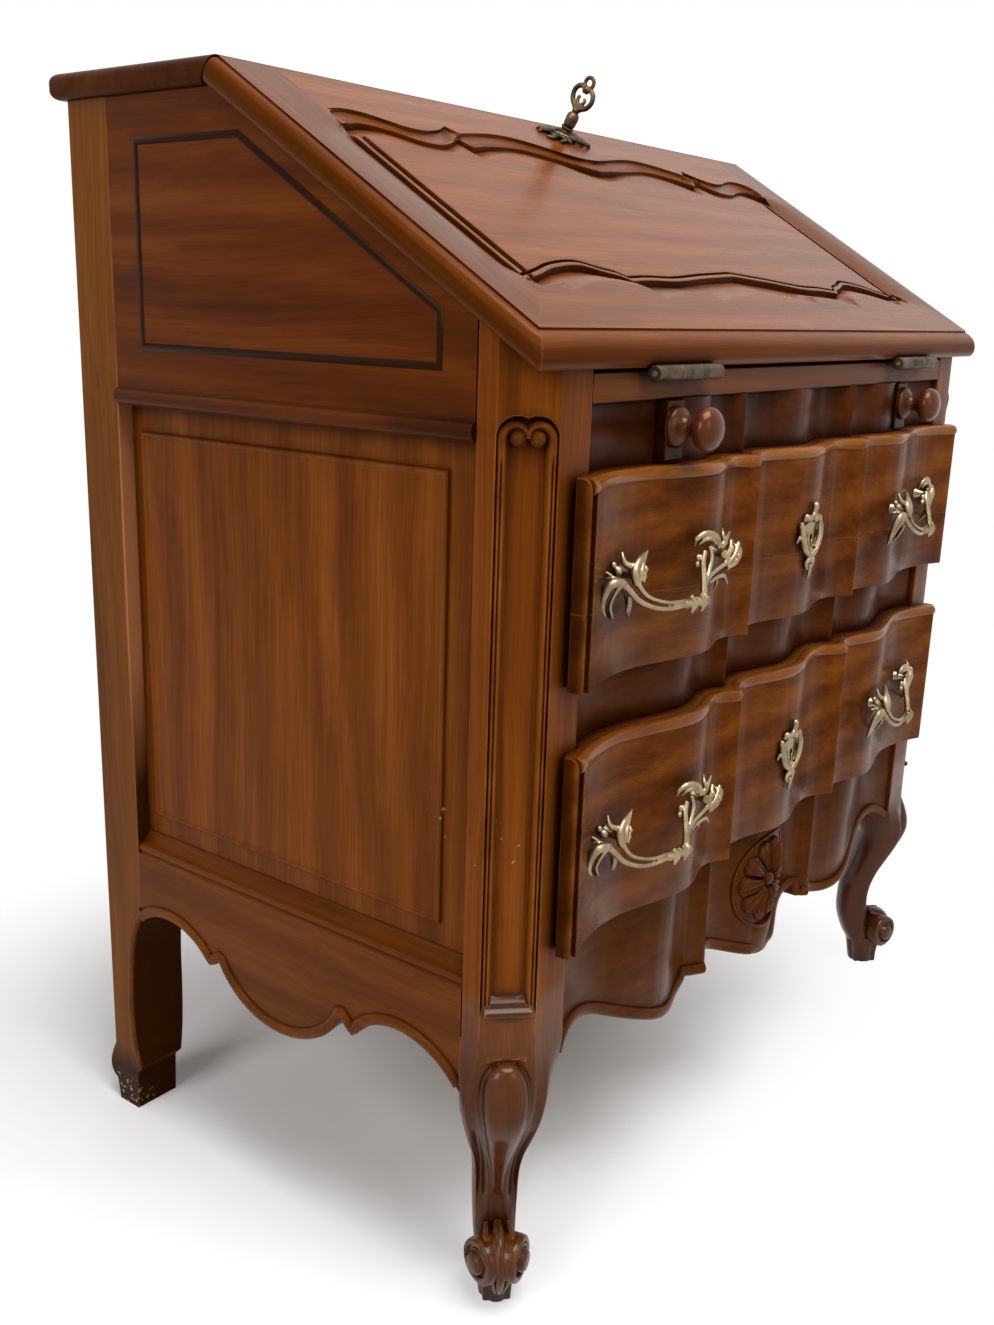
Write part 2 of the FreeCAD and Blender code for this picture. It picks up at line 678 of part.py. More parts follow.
piece("front_apron", front_apron())
rail = front_solid(dim("lip"), post_in, dim("rail_low"), dim("rail_high"), rear=post_back)
piece("drawer_rail", one(rail.cut(bolt_slot(dim("rail_low")))))

frieze = front_solid(dim("lip"), post_in, dim("frieze_low"), dim("frieze_high"), rear=post_back)
frieze = frieze.cut(bolt_slot(dim("frieze_low")))
loper_hole = dim("loper_width") / 2 + 0.5
for side in (-1, 1):
    x = side * dim("loper_place")
    frieze = frieze.cut(block(x - loper_hole, x + loper_hole, post_back - 20, 600,
                              dim("loper_low") - 1, dim("frieze_high") + 1))
piece("frieze", one(frieze))

# hinge rail with mortises for the fixed hinge leaves

hinge_d = lid_front + dim("hinge_forward")
axis_z = hinge_z - dim("hinge_drop")
leaf_back = post_front - 34
hinge_rail = block(-post_in, post_in, post_back, post_front, dim("frieze_high"), hinge_z)
for side in (-1, 1):
    x = side * dim("hinge_place")
    w = dim("hinge_length") / 2
    hinge_rail = hinge_rail.cut(block(x - w, x + w, leaf_back, post_front + 1,
                                      hinge_z - dim("leaf_thick"), hinge_z + 1))
piece("hinge_rail", one(hinge_rail))

# boards of the case

BACK_IN = "dims.case_width / 2 - dims.back_post_width"
S_IN = "dims.case_width / 2 - dims.side_thick"
P_BACK = "dims.post_front - dims.post_depth"
T_LOW = "dims.total_height - dims.top_thick"
B_IN = "dims.back_inset + dims.back_thick"
BED = "dims.hinge_height - dims.bed_thick"
DECK = "dims.loper_low - 1"

board("writing_bed", "-(%s)" % S_IN, S_IN, "dims.back_post_depth", P_BACK, BED, "dims.hinge_height")
board("loper_deck", "-(%s)" % S_IN, S_IN, "dims.back_post_depth", P_BACK,
      "%s - dims.deck_thick" % DECK, DECK)

cheeks = []
for number, (side, place) in enumerate(((-1, -1), (-1, 1), (1, -1), (1, 1)), 1):
    middle = "%d * dims.loper_place + %d * (dims.loper_width / 2 + 0.5 + dims.cheek_thick / 2)" % (side, place)
    cheeks.append(board("loper_cheek_%d" % number, "%s - dims.cheek_thick / 2" % middle,
                        "%s + dims.cheek_thick / 2" % middle, "dims.back_post_depth", P_BACK, DECK, BED, False))
group("loper_guides", cheeks)

runners = []
for level in ("apron_top", "rail_high"):
    for side in (-1, 1):
        outer = back_in + 8
        inner = post_in - 30
        z = dim(level) + fit - 0.5
        seat = block(inner, outer, dim("back_post_depth"), post_back, z - dim("runner_thick"), z)
        guide = block(post_in - dim("box_side") + 1, outer, dim("back_post_depth"), post_back, z, z + 24)
        bar = one(seat.fuse(guide).removeSplitter())
        runners.append(bar if side > 0 else mirror(bar))
piece("drawer_runners", Part.makeCompound(runners))

board("back_panel", "-(%s)" % BACK_IN, BACK_IN, "dims.back_inset", B_IN, "dims.back_low", T_LOW)
back_bars = []
for word, bottom, top in (("low", "dims.back_low", "dims.back_low + dims.back_rail"),
                          ("high", "%s - dims.back_rail" % T_LOW, T_LOW)):
    back_bars.append(board("back_rail_" + word, "-(%s)" % BACK_IN, BACK_IN, B_IN,
                           "%s + dims.back_rail_thick" % B_IN, bottom, top, False))
group("back_rails", back_bars)


# top board, bevelled to meet the fall front, with a mortise for the bolt plate

lock_x = dim("lock_place")


def top_board():
    lean = dim("top_thick") * tan(slope)
    high = dim("total_height")
    side = [(-lid_half, dim("top_back"), top_low), (-lid_half, dim("top_back"), high),
            (-lid_half, -top_front, high), (-lid_half, -top_front + lean, top_low)]
    shape = prism(side, (2 * lid_half, 0, 0))
    rim = edges_near(shape, lambda b: (b.XLength < 0.01 and b.YLength > 100)
                     or (b.YMin > dim("top_back") - 0.01 and b.XLength > 100))
    shape = shape.makeFillet(dim("top_thick") * 0.36, rim)
    plate = Part.makeBox(52, 1.5, 16, V(lock_x - 26, lid_end, 3))
    wide = dim("bolt_width") / 2 + 1
    slot = Part.makeBox(2 * wide, 14, 7, V(lock_x - wide, lid_end, 4))
    return one(shape.cut(from_lid(plate.fuse(slot))))


piece("top_board", top_board())

# gallery inside

shelf_d = "dims.back_inset + dims.back_thick + dims.gallery_depth"
inner_back = "dims.back_post_depth"
board("gallery_shelf", "-(%s)" % S_IN, S_IN, inner_back, shelf_d, "dims.shelf_low",
      "dims.shelf_low + dims.shelf_thick")
uprights = []
for number, side in enumerate((-1, 1), 1):
    a = "%d * (dims.pigeon_place - dims.shelf_thick / 2) - dims.shelf_thick / 2" % side
    uprights.append(board("gallery_low_%d" % number, a, "%s + dims.shelf_thick" % a, inner_back, shelf_d,
                          "dims.hinge_height", "dims.shelf_low", False))
    uprights.append(board("gallery_high_%d" % number, a, "%s + dims.shelf_thick" % a, inner_back,
                          "%s - 40" % shelf_d, "dims.shelf_low + dims.shelf_thick", T_LOW, False))
group("gallery_uprights", uprights)

# hinges

third = dim("hinge_length") / 3
clear = dim("part_clear")
bore = dim("pin_radius")
case_leaves = []
pins = []
fall_leaves = []
for side in (-1, 1):
    x = side * dim("hinge_place")
    x0 = x - dim("hinge_length") / 2
    x1 = x0 + dim("hinge_length")
    radius = dim("hinge_radius")
    plate = block(x0, x1, leaf_back, hinge_d - radius - 2 * clear, hinge_z - dim("leaf_thick"), hinge_z)
    parts = []
    for a, b in ((x0, x0 + third - clear), (x1 - third + clear, x1)):
        parts.append(rod(a, b, hinge_d, axis_z, radius))
        parts.append(block(a, b, leaf_back, hinge_d - 2, hinge_z - dim("leaf_thick"), hinge_z))
    leaf = plate.fuse(parts).removeSplitter().cut(rod(x0 - 1, x1 + 1, hinge_d, axis_z, bore))
    case_leaves.append(one(leaf))
    pins.append(rod(x0, x1, hinge_d, axis_z, bore))
    knuckle = rod(x0 + third, x1 - third, hinge_d, axis_z, radius)
    strap = from_lid(Part.makeBox(third, 40, dim("leaf_thick"), V(x0 + third, -2, 0)))
    web = from_lid(Part.makeBox(dim("hinge_length"), 31, dim("leaf_thick"), V(x0, 7, 0)))
    web = web.cut(rod(x0 - 1, x1 + 1, hinge_d, axis_z, radius + 2 * clear))
    leaf = knuckle.fuse([strap, web]).removeSplitter()
    leaf = leaf.cut(rod(x0 - 1, x1 + 1, hinge_d, axis_z, bore + dim("pin_clear")))
    fall_leaves.append(one(leaf))
piece("hinge_leaves_case", Part.makeCompound(case_leaves))
piece("hinge_pins", Part.makeCompound(pins))
piece("hinge_leaves_fall", Part.makeCompound(fall_leaves))

# fall front, drawn flat on its inner face: x across, y up the slope, z outwards

lid_top = lid_end - dim("lid_end_gap")
open_half = lid_half - dim("stile_width")
plumb = lid_thick * tan(slope)


def wave(points, lift=0.0):
    return [(x * open_half / 352, y + lift, 0) for x, y in points]


def wave_edges(outer, inner, lift=0.0):
    a = wave(outer, lift)
    b = wave(inner, lift)
    whole = b + mirrored(b)[1:]
    edges = curve(a) + curve(whole) + curve(mirrored(a))
    edges += lines([a[-1], b[0]])
    edges += lines(mirrored([a[-1], b[0]]))
    return edges, a[0]


TOP_OUTER = [(-352, -66), (-324, -57), (-291, -61), (-262, -71), (-235, -70), (-200, -54)]
TOP_INNER = [(-190, -64), (-150, -55), (-106, -51), (-58, -59), (0, -69)]
LOW_OUTER = [(-352, 72), (-320, 82), (-289, 93), (-248, 99), (-222, 91), (-206, 87)]
LOW_INNER = [(-196, 80), (-164, 83), (-122, 84), (-63, 92), (0, 99)]


def shift(points, dy):
    return [(x, y + dy) for x, y in points]


def rail_outline(outer, inner, far):
    edges, start = wave_edges(outer, inner)
    edges += lines([start, (start[0], far, 0), (-start[0], far, 0), (-start[0], start[1], 0)])
    return face_of(edges)


def mitre(points):
    lean = V(0, plumb, lid_thick) * (1 + 2 / lid_thick)
    shape = prism([(x, y, 0) for x, y in points], (lean.x, lean.y, lean.z))
    shape.translate(V(0, -plumb / lid_thick, -1))
    return shape


barrels = []
for side in (-1, 1):
    x = side * dim("hinge_place")
    w = dim("hinge_length") / 2 + 0.5
    relief = rod(x - w, x + w, hinge_d, axis_z, dim("hinge_radius") + 2 * clear)
    relief.translate(V(0, lid_front, -hinge_z))
    relief.rotate(V(0, 0, 0), V(1, 0, 0), -degrees(slope))
    barrels.append(relief)
    barrels.append(Part.makeBox(2 * w - 1, 40, dim("leaf_thick"), V(x - w + 0.5, -2, 0)))


def fall_stile():
    bar = Part.makeBox(dim("stile_width"), lid_top + 40, lid_thick, V(-lid_half, -40, 0))
    bar = bar.makeFillet(dim("lid_round"), edges_near(
        bar, lambda b: b.YLength > 100 and b.XMax < -lid_half + 0.01 and b.ZMin > lid_thick - 0.01))
    bar = bar.makeFillet(3, edges_near(
        bar, lambda b: b.YLength > 100 and b.XMax < -lid_half + 0.01 and b.ZMax < 0.01))
    corner = lid_half
    keep = mitre([(-corner - 30, -30), (-corner + 200, 200), (-corner + 200, 900), (-corner - 30, 900)])
    return one(bar.common(keep))


stile_shape = fall_stile()
lid_piece("fall_stile_left", stile_shape)
lid_piece("fall_stile_right", mirror(stile_shape))


def fall_rail_bottom():
    depth = 140
    side = [(-lid_half - 40, 0, 0), (-lid_half - 40, plumb, lid_thick), (-lid_half - 40, depth, lid_thick),
            (-lid_half - 40, depth, 0)]
    bar = prism(side, (2 * lid_half + 80, 0, 0))
    bar = bar.makeFillet(dim("lid_round"), edges_near(
        bar, lambda b: b.XLength > 100 and b.ZMin > lid_thick - 0.01 and b.YMax < plumb + 0.01))
    bar = bar.makeFillet(2, edges_near(
        bar, lambda b: b.XLength > 100 and b.ZMax < 0.01 and b.YMax < 0.01))
    corner = lid_half
    keep = mitre([(-corner - 30, -30), (corner + 30, -30), (corner - 150, 150), (150 - corner, 150)])
    bar = bar.common(keep)
    above = rail_outline(LOW_OUTER, LOW_INNER, 400).extrude(V(0, 0, lid_thick))
    bar = bar.cut(above)
    for tool in barrels:
        bar = bar.cut(tool)
    return one(bar)


lid_piece("fall_rail_bottom", fall_rail_bottom())

key_y = lid_end - dim("key_drop")
lock_low = key_y - 22
key_hole = Part.makeCylinder(dim("key_radius") + clear, 60, V(lock_x, key_y, 10.5), V(0, 0, 1))
lock_case = Part.makeBox(60, lid_top - lock_low, 13, V(lock_x - 30, lock_low, 0))


def fall_rail_top():
    drop = shift(TOP_OUTER, lid_end), shift(TOP_INNER, lid_end)
    bar = rail_outline(drop[0], drop[1], lid_top).extrude(V(0, 0, lid_thick))
    return one(bar.cut(lock_case).cut(key_hole))


lid_piece("fall_rail_top", fall_rail_top())


def fall_panel():
    low_edges, low = wave_edges(LOW_OUTER, LOW_INNER)
    top_edges, top = wave_edges(shift(TOP_OUTER, lid_end), shift(TOP_INNER, lid_end))
    sides = lines([low, top]) + lines([(-low[0], low[1], 0), (-top[0], top[1], 0)])
    plate = face_of(low_edges + top_edges + sides).extrude(V(0, 0, dim("fall_channel")))
    # raised field, narrower than the opening by the carved channel
    narrow = (open_half - 13) / open_half
    inset = [(x * narrow, y) for x, y in shift(LOW_OUTER, 13)]
    inset_mid = [(x * narrow, y) for x, y in shift(LOW_INNER, 13)]
    high = [(x * narrow, y) for x, y in shift(TOP_OUTER, lid_end - 28)]
    high_mid = [(x * narrow, y) for x, y in shift(TOP_INNER, lid_end - 28)]
    a_edges, a = wave_edges(inset, inset_mid)
    b_edges, b = wave_edges(high, high_mid)
    sides = lines([a, b]) + lines([(-a[0], a[1], 0), (-b[0], b[1], 0)])
    field = face_of(a_edges + b_edges + sides).extrude(V(0, 0, dim("fall_field")))
    return one(plate.fuse(field).removeSplitter())


lid_piece("fall_panel", fall_panel())

# lock of the fall front

bolt_half = dim("bolt_width") / 2
channel = Part.makeBox(2 * (bolt_half + clear), 40, 5 + 2 * clear,
                       V(lock_x - bolt_half - clear, lid_top - 31, 5 - clear))
lid_piece("fall_lock", one(lock_case.cut(channel).cut(key_hole)))
lid_piece("fall_bolt", Part.makeBox(2 * bolt_half, 28, 5, V(lock_x - bolt_half, lid_top - 29, 5)))


def shield(wide, tall, thick):
    right = [(0, tall), (wide * 0.3, tall * 0.62), (wide * 0.62, tall * 0.4), (wide, 0),
             (wide * 0.55, -tall * 0.42), (0, -tall)]
    whole = right + [(-x, y) for x, y in reversed(right[1:-1])]
    return prism([(x, y, 0) for x, y in whole], (0, 0, thick))


cover = shield(34, 18, 2)
cover.translate(V(lock_x, key_y, lid_thick))
lid_piece("fall_escutcheon", one(cover.cut(key_hole)))


def fall_key():
    stem = Part.makeCylinder(dim("key_radius"), 38, V(lock_x, key_y, 11), V(0, 0, 1))
    collar = Part.makeCylinder(5.5, 4, V(lock_x, key_y, 34), V(0, 0, 1))
    parts = [collar]
    # the bow and the small ring over it stand along the slope
    for height, outer, inner, thick in ((60, 12.4, 7.6, 4.8), (76, 6.2, 2.6, 3.6)):
        base = V(lock_x - thick / 2, key_y, height)
        disc = Part.makeCylinder(outer, thick, base, V(1, 0, 0))
        parts.append(disc.cut(Part.makeCylinder(inner, thick, base, V(1, 0, 0))))
    return one(stem.fuse(parts).removeSplitter())


lid_piece("fall_key", fall_key())
wide = bolt_half + 1
strike = Part.makeBox(52, 1.5, 16, V(lock_x - 26, lid_end, 3)).cut(
    Part.makeBox(2 * wide, 3, 7, V(lock_x - wide, lid_end - 1, 4)))
lid_piece("fall_strike", one(strike))

# lopers and their turned knobs

# outline of a turned knob as shares of its radius and length: flange, neck, head
LOPER_KNOB = [(0, 0), (0.93, 0), (0.93, 0.11), (0.42, 0.34), (0.42, 0.42), (0.96, 0.6), (0.96, 0.78), (0.55, 1),
              (0, 1)]
SMALL_KNOB = [(0, 0), (0.5, 0), (0.5, 0.4), (1, 0.55), (1, 0.8), (0.6, 1), (0, 1)]


def turned_knob(outline, radius, length, place):
    profile = [(x * radius, -y * length, 0) for x, y in outline]
    shape = face_of(lines(profile + profile[:1])).revolve(V(0, 0, 0), V(0, 1, 0), 360)
    shape.translate(place)
    return shape


for side, word in ((-1, "left"), (1, "right")):
    x = "%d * dims.loper_place" % side
    board("loper_" + word, "%s - dims.loper_width / 2" % x, "%s + dims.loper_width / 2" % x,
          "dims.back_post_depth + 12", "dims.post_front + dims.loper_out", "dims.loper_low", "dims.loper_top")
    middle = (dim("loper_low") + dim("loper_top")) / 2 + 3
    spot = V(side * dim("loper_place"), -loper_front, middle)
    piece("loper_knob_" + word, turned_knob(LOPER_KNOB, dim("knob_radius"), dim("knob_length"), spot))

# drawers


def drawer(name, z_in, z_top, z_lip, z_face):
    front = fronts[name]
    lock_low = z_top - 38
    back = front_back
    piece(name + "_front", front)
    out = post_in - dim("box_side")
    t = dim("box_thick")
    high = z_top - 10
    rear = dim("box_back")
    side = block(out - t, out, rear, back, z_in, high)
    piece(name + "_sides", Part.makeCompound([mirror(side), side]))
    piece(name + "_back", block(-out + t, out - t, rear, rear + t, z_in, high - 12))
    floor = z_in + 8
    piece(name + "_bottom", block(-out + t, out - t, rear + t, back, floor, floor + dim("bottom_thick")))
    piece(name + "_pulls", pulls[name])
    middle = (z_lip + z_face) / 2
    plate = shield(23, 37, 30)
    plate.rotate(V(0, 0, 0), V(1, 0, 0), 90)
    plate.translate(V(0, -ahead("centre_out") + 27, middle))
    piece(name + "_escutcheon", one(plate.cut(front)))
    case = block(-28, 28, back - 12, back, lock_low, z_top)
    gate = block(-bolt_half - clear, bolt_half + clear, back - 9 - clear, back - 3 + clear,
                 z_top - 26, z_top + 1)
    piece(name + "_lock", one(case.cut(gate)))
    piece(name + "_bolt", block(-bolt_half, bolt_half, back - 9, back - 3, z_top - 25, z_top - 1))


drawer("upper", upper_in, upper_top, dim("upper_lip"), dim("upper_face"))
drawer("lower", lower_in, lower_top, dim("lower_lip"), dim("lower_face"))

# small drawers of the gallery

for side, word in ((-1, "left"), (1, "right")):
    a = dim("pigeon_place") + 1
    b = side_in - 1
    d0 = dim("back_post_depth") + 4
    d1 = dim("back_inset") + dim("back_thick") + dim("gallery_depth")
    z0 = hinge_z + 0.5
    z1 = dim("shelf_low") - 1.5
    tray = block(a, b, d0, d1, z0, z1).cut(block(a + 6, b - 6, d0 + 6, d1 - 10, z0 + 5, z1 + 1))
    piece("small_drawer_" + word, tray if side > 0 else mirror(tray))
    spot = V(side * (a + b) / 2, -d1, (z0 + z1) / 2)
    piece("small_knob_" + word, turned_knob(SMALL_KNOB, 8, 18, spot))

doc.recompute()
for obj in NODES:
    if "Invalid" in obj.State or "Error" in obj.State:
        raise RuntimeError("%s did not build: %s" % (obj.Name, obj.State))
    if obj.Shape.isNull() or not obj.Shape.isValid() or not obj.Shape.Solids:
        raise RuntimeError("%s has a bad shape" % obj.Name)
for obj in NODES:
    obj.Shape.exportStep("parts/%s.step" % obj.Label)
print(len(NODES), "parts")
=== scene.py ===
import math

import bmesh
import bpy
from mathutils import Matrix, Vector


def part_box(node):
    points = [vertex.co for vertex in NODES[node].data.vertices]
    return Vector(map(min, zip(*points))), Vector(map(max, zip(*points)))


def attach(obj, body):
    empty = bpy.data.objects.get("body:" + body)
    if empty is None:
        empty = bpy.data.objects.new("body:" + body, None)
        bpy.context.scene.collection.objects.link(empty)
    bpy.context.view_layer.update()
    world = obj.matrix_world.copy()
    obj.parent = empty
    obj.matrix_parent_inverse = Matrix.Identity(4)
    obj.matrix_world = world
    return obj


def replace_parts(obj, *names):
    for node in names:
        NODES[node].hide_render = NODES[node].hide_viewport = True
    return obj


# Looks of a slant-front writing desk. Sizes are written in millimetres and turned into metres by place().

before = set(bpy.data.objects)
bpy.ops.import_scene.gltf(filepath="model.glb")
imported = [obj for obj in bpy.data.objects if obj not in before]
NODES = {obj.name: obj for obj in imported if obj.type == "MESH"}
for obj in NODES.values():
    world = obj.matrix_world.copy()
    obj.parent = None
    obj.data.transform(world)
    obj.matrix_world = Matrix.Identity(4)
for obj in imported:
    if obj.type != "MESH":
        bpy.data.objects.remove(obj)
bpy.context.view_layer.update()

MM = 0.001
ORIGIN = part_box("top_board")[1].y - 13 * MM      # y of the back plane of the corner posts
WHITE = (1, 1, 1, 1)


def place(x, depth, z):
    """A point from millimetres: x across, depth forward from the back plane, z up."""
    return Vector((x * MM, ORIGIN - depth * MM, z * MM))


def around(count):
    """Cosine and sine of equal steps round a circle."""
    turns = [2 * math.pi * k / count for k in range(count)]
    return [(math.cos(turn), math.sin(turn)) for turn in turns]


# --- materials

class Nodes:
    """A node tree under construction: add() makes a node, links its inputs and gives one of its outputs."""

    def __init__(self, owner):
        owner.use_nodes = True
        self.owner = owner
        self.tree = owner.node_tree
        self.tree.nodes.clear()

    def add(self, kind, links=None, out=0, **values):
        node = self.tree.nodes.new("ShaderNode" + kind)
        for key, value in values.items():
            setattr(node, key, value)
        for key, value in (links or {}).items():
            socket = node.inputs[key]
            if isinstance(value, bpy.types.NodeSocket):
                self.tree.links.new(value, socket)
            else:
                socket.default_value = value
        return node.outputs[out]

    def math(self, operation, a, b=0.0, clamp=False):
        return self.add("Math", {0: a, 1: b}, operation=operation, use_clamp=clamp)

    def times(self, a, b, clamp=False):
        return self.math("MULTIPLY", a, b, clamp)

    def plus(self, a, b, clamp=False):
        return self.math("ADD", a, b, clamp)

    def minus(self, a, b, clamp=False):
        return self.math("SUBTRACT", a, b, clamp)

    def vector(self, operation, a, b=(0, 0, 0), out=0):
        return self.add("VectorMath", {0: a, 1: b}, out, operation=operation)

    def span(self, value, low, high, start=0.0, end=1.0, **values):
        """Goes from start to end while the value goes from low to high."""
        return self.add("MapRange", {0: value, 1: low, 2: high, 3: start, 4: end}, **values)

    def ramp(self, factor, stops):
        socket = self.add("ValToRGB", {"Fac": factor})
        elements = socket.node.color_ramp.elements
        while len(elements) < len(stops):
            elements.new(0.5)
        for element, (at, colour) in zip(elements, stops):
            element.position = at
            element.color = (*colour, 1)
        return socket

    def mix(self, factor, a, b):
        return self.add("Mix", {0: factor, 6: a, 7: b}, 2, data_type="RGBA")

    def noise(self, vector, scale, detail=3.0, rough=0.55):
        return self.add("TexNoise", {"Vector": vector, "Scale": scale, "Detail": detail, "Roughness": rough})

    def stretch(self, vector, scale, turn=(0, 0, 0), shift=(0, 0, 0)):
        return self.add("Mapping", {"Vector": vector, "Scale": scale, "Rotation": turn, "Location": shift})

    def streaks(self, vector, along, across, detail, rough):
        """Noise with a scale along the grain and another across it."""
        return self.noise(self.stretch(vector, (along, across, across)), 1.0, detail, rough)

    def reach(self, vector, where, reach):
        """Distance from a place, in shares of a reach along each axis."""
        away = self.vector("DIVIDE", self.vector("SUBTRACT", vector, where), reach)
        return self.vector("LENGTH", away, out="Value")

    def nook(self, distance, low, high, share):
        """The share in a recess, falling to nothing on open ground."""
        open_sky = self.add("AmbientOcclusion", {"Distance": distance}, "AO", samples=6)
        return self.span(open_sky, low, high, share, 0.0)

    def direct(self):
        """1 on camera, mirror and glass rays, 0 on scattered ones."""
        rays = self.add("LightPath").node.outputs
        seen = rays["Is Camera Ray"]
        for kind in ("Is Glossy Ray", "Is Transmission Ray"):
            seen = self.math("MAXIMUM", seen, rays[kind])
        return seen

    def surface(self, colour, rough, height, strength, distance, more):
        """The finished material: a principled surface with a fine bump."""
        bump = self.add("Bump", {"Strength": strength, "Distance": distance, "Height": height})
        values = {"Base Color": colour, "Roughness": rough, "Normal": bump, **more}
        return self.finish(self.add("BsdfPrincipled", values))

    def finish(self, shader, kind="Material"):
        output = self.tree.nodes.new("ShaderNodeOutput" + kind)
        self.tree.links.new(shader, output.inputs["Surface"])
        return self.owner


GRAIN_TURN = {                       # turns the grain direction onto the local x axis
    "x": (0, 0, 0),
    "y": (0, 0, math.radians(-90)),
    "z": (0, math.radians(90), 0),
}
LID_SLOPE = math.radians(31.50)
LID_TURN = (-LID_SLOPE, 0, math.radians(-90))


def scaled(colour, red, green, blue):
    return min(1, colour[0] * red), colour[1] * green, colour[2] * blue, 1


def wood(name, axis, tones, seed=0.0, figure=0.5, gloss=0.30, wear_and_highlight=0.5, wax_and_shade=0.85, turn=None, spread=1.0, ior=1.18,
         nook=0.019, black=None, coat=None, seam=None, shaded=None, worn_flecks_and_lit_patch=(), blots=()):
    """Varnished wood: long streaks, faint arched figure, pores, recesses darkened by old wax and by painted shade, and
    edges lightened where worn and by a painted highlight.

    black is (height, height, share): darkened below the first height, fading out at the second.
    coat is (height, height, weight): a glossy coat below the first height, fading out at the second.
    seam is (height, share): a glued joint, a thin line at that height where edges are not lightened.
    shaded is (axis, value, value, share): darkened where the normal's part along the axis goes from the second
    value down to the first; both sides of the board alike where the values are positive.
    The rows of flecks are (place, reach, share, least, colour): flecks of worn wood round a place, fewer with a higher
    least value; a low least value fills the reach, as with the painted light on the back post's inner face.
    blots are rows (place, reach, share): soft dark spots with a reach along each axis."""
    n = Nodes(bpy.data.materials.new(name))
    dark, middle, light = tones
    # the darkest tone, for painted shade with old wax in the recesses and for the darkened bands and spots
    darkest = scaled(dark, 0.20, 0.20, 0.30)
    spot = n.add("TexCoord", out="Object")
    level = n.add("SeparateXYZ", {"Vector": spot}, "Z")
    along = n.stretch(spot, (1, 1, 1), turn or GRAIN_TURN[axis], (seed * 0.37, seed * 0.53, seed * 0.71))
    # slow wander of the grain
    drift = n.add("TexNoise", {"Vector": n.stretch(along, (2.2, 6, 6)), "Scale": 1.0, "Detail": 2.0}, "Color")
    drift = n.vector("MULTIPLY", n.vector("SUBTRACT", drift, (0.5, 0.5, 0.5)), (0.0, 0.045, 0.045))
    grain = n.vector("ADD", along, drift)
    # flat-sawn figure: a heart that lies behind the board and leans to it
    heart = n.stretch(grain, (1, 1, 1), (0.0, 0.16, 0.11), (0.0, 0.13, 0.19))
    rings = n.add("TexWave", {"Vector": heart, "Scale": 9.0, "Distortion": 2.0, "Detail": 3.0, "Detail Scale": 1.8,
                              "Detail Roughness": 0.65}, "Fac", wave_type="RINGS", rings_direction="X")
    broad = n.streaks(grain, 1.3, 22, 3.0, 0.5)
    streak = n.streaks(grain, 2.4, 120, 5.0, 0.62)
    fibre = n.streaks(grain, 9, 620, 3.0, 0.6)
    cloud = n.streaks(grain, 2.4, 6, 3.0, 0.5)
    tone = n.times(rings, figure * 0.13)
    for part, share in ((broad, 0.36), (streak, 0.48), (cloud, 0.24), (fibre, 0.26)):
        tone = n.plus(tone, n.times(part, share))
    tone = n.minus(tone, 0.17 + figure * 0.065)
    half = 0.26 / spread
    colour = n.ramp(tone, [(0.5 - half, dark), (0.5, middle), (0.5 + half, light)])
    # pores, short dark dashes
    pores = n.span(n.streaks(along, 30, 1300, 2.0, 0.5), 0.60, 0.72, 0.0, 0.30)
    colour = n.mix(pores, colour, scaled(dark, 0.6, 0.6, 0.6))
    # recesses darkened, partly as old wax and partly as painted shade
    recess = n.nook(nook, 0.34, 0.96, wax_and_shade)
    colour = n.mix(recess, colour, darkest)
    sheen = 0.5
    if black:
        colour = n.mix(n.span(level, *black, 0.0), colour, darkest)
    if shaded:
        side, low, high, share = shaded
        facing = n.add("SeparateXYZ", {"Vector": n.add("TexCoord", out="Normal")}, side)
        if low > 0:
            facing = n.math("ABSOLUTE", facing)
        away = n.span(facing, low, high, 1.0, 0.0)
        colour = n.mix(n.times(away, share), colour, scaled(dark, 0.45, 0.45, 0.45))
        sheen = n.minus(0.5, n.times(away, 0.42))
    for where, reach, share in blots:
        colour = n.mix(n.span(n.reach(spot, where, reach), 0.7, 1.15, share, 0.0), colour, darkest)
    # edges lightened where worn and by a painted highlight: the smoothed normal leaves the true one there
    soft = n.add("Bevel", {"Radius": 0.0022}, samples=4)
    bend = n.vector("DOT_PRODUCT", soft, n.add("NewGeometry", out="Normal"), "Value")
    patch = n.span(n.streaks(spot, 17, 17, 5.0, 0.65), 0.42, 0.66, 0.0, wear_and_highlight)
    rubbed_and_highlight = n.times(n.times(n.span(bend, 0.985, 0.90), patch), n.minus(1.0, recess, True), True)
    if seam:
        off = n.math("ABSOLUTE", n.minus(level, seam[0]))
        rubbed_and_highlight = n.times(rubbed_and_highlight, n.span(off, 0.003, 0.005))
        colour = n.mix(n.span(off, 0.0002, 0.0006, seam[1], 0.0), colour, scaled(light, 1.0, 1.2, 1.6))
    for where, reach, share, least, tint in worn_flecks_and_lit_patch:
        near = n.span(n.reach(spot, where, reach), 0.5, 1.0, share, 0.0)
        fleck = n.span(n.noise(spot, 230.0, 2.0), least, least + 0.03)
        colour = n.mix(n.times(fleck, near), colour, tint)
    # pale, bluish edges: worn wood with a painted highlight
    colour = n.mix(rubbed_and_highlight, colour, scaled(light, 1.35, 1.5, 1.8))
    rough = n.plus(gloss - 0.06, n.times(cloud, 0.10))
    rough = n.plus(rough, n.times(pores, 0.25))
    rough = n.plus(rough, n.times(recess, 0.25), True)
    height = n.minus(n.plus(n.times(streak, 0.5), n.times(fibre, 0.5)), pores)
    more = {"IOR": ior, "Specular IOR Level": sheen, "Specular Tint": (1.0, 0.60, 0.30, 1), "Coat Roughness": 0.16,
            "Coat Weight": n.span(level, *coat, 0.0) if coat else 0.0}
    return n.surface(colour, rough, height, 0.08, 0.0005, more)


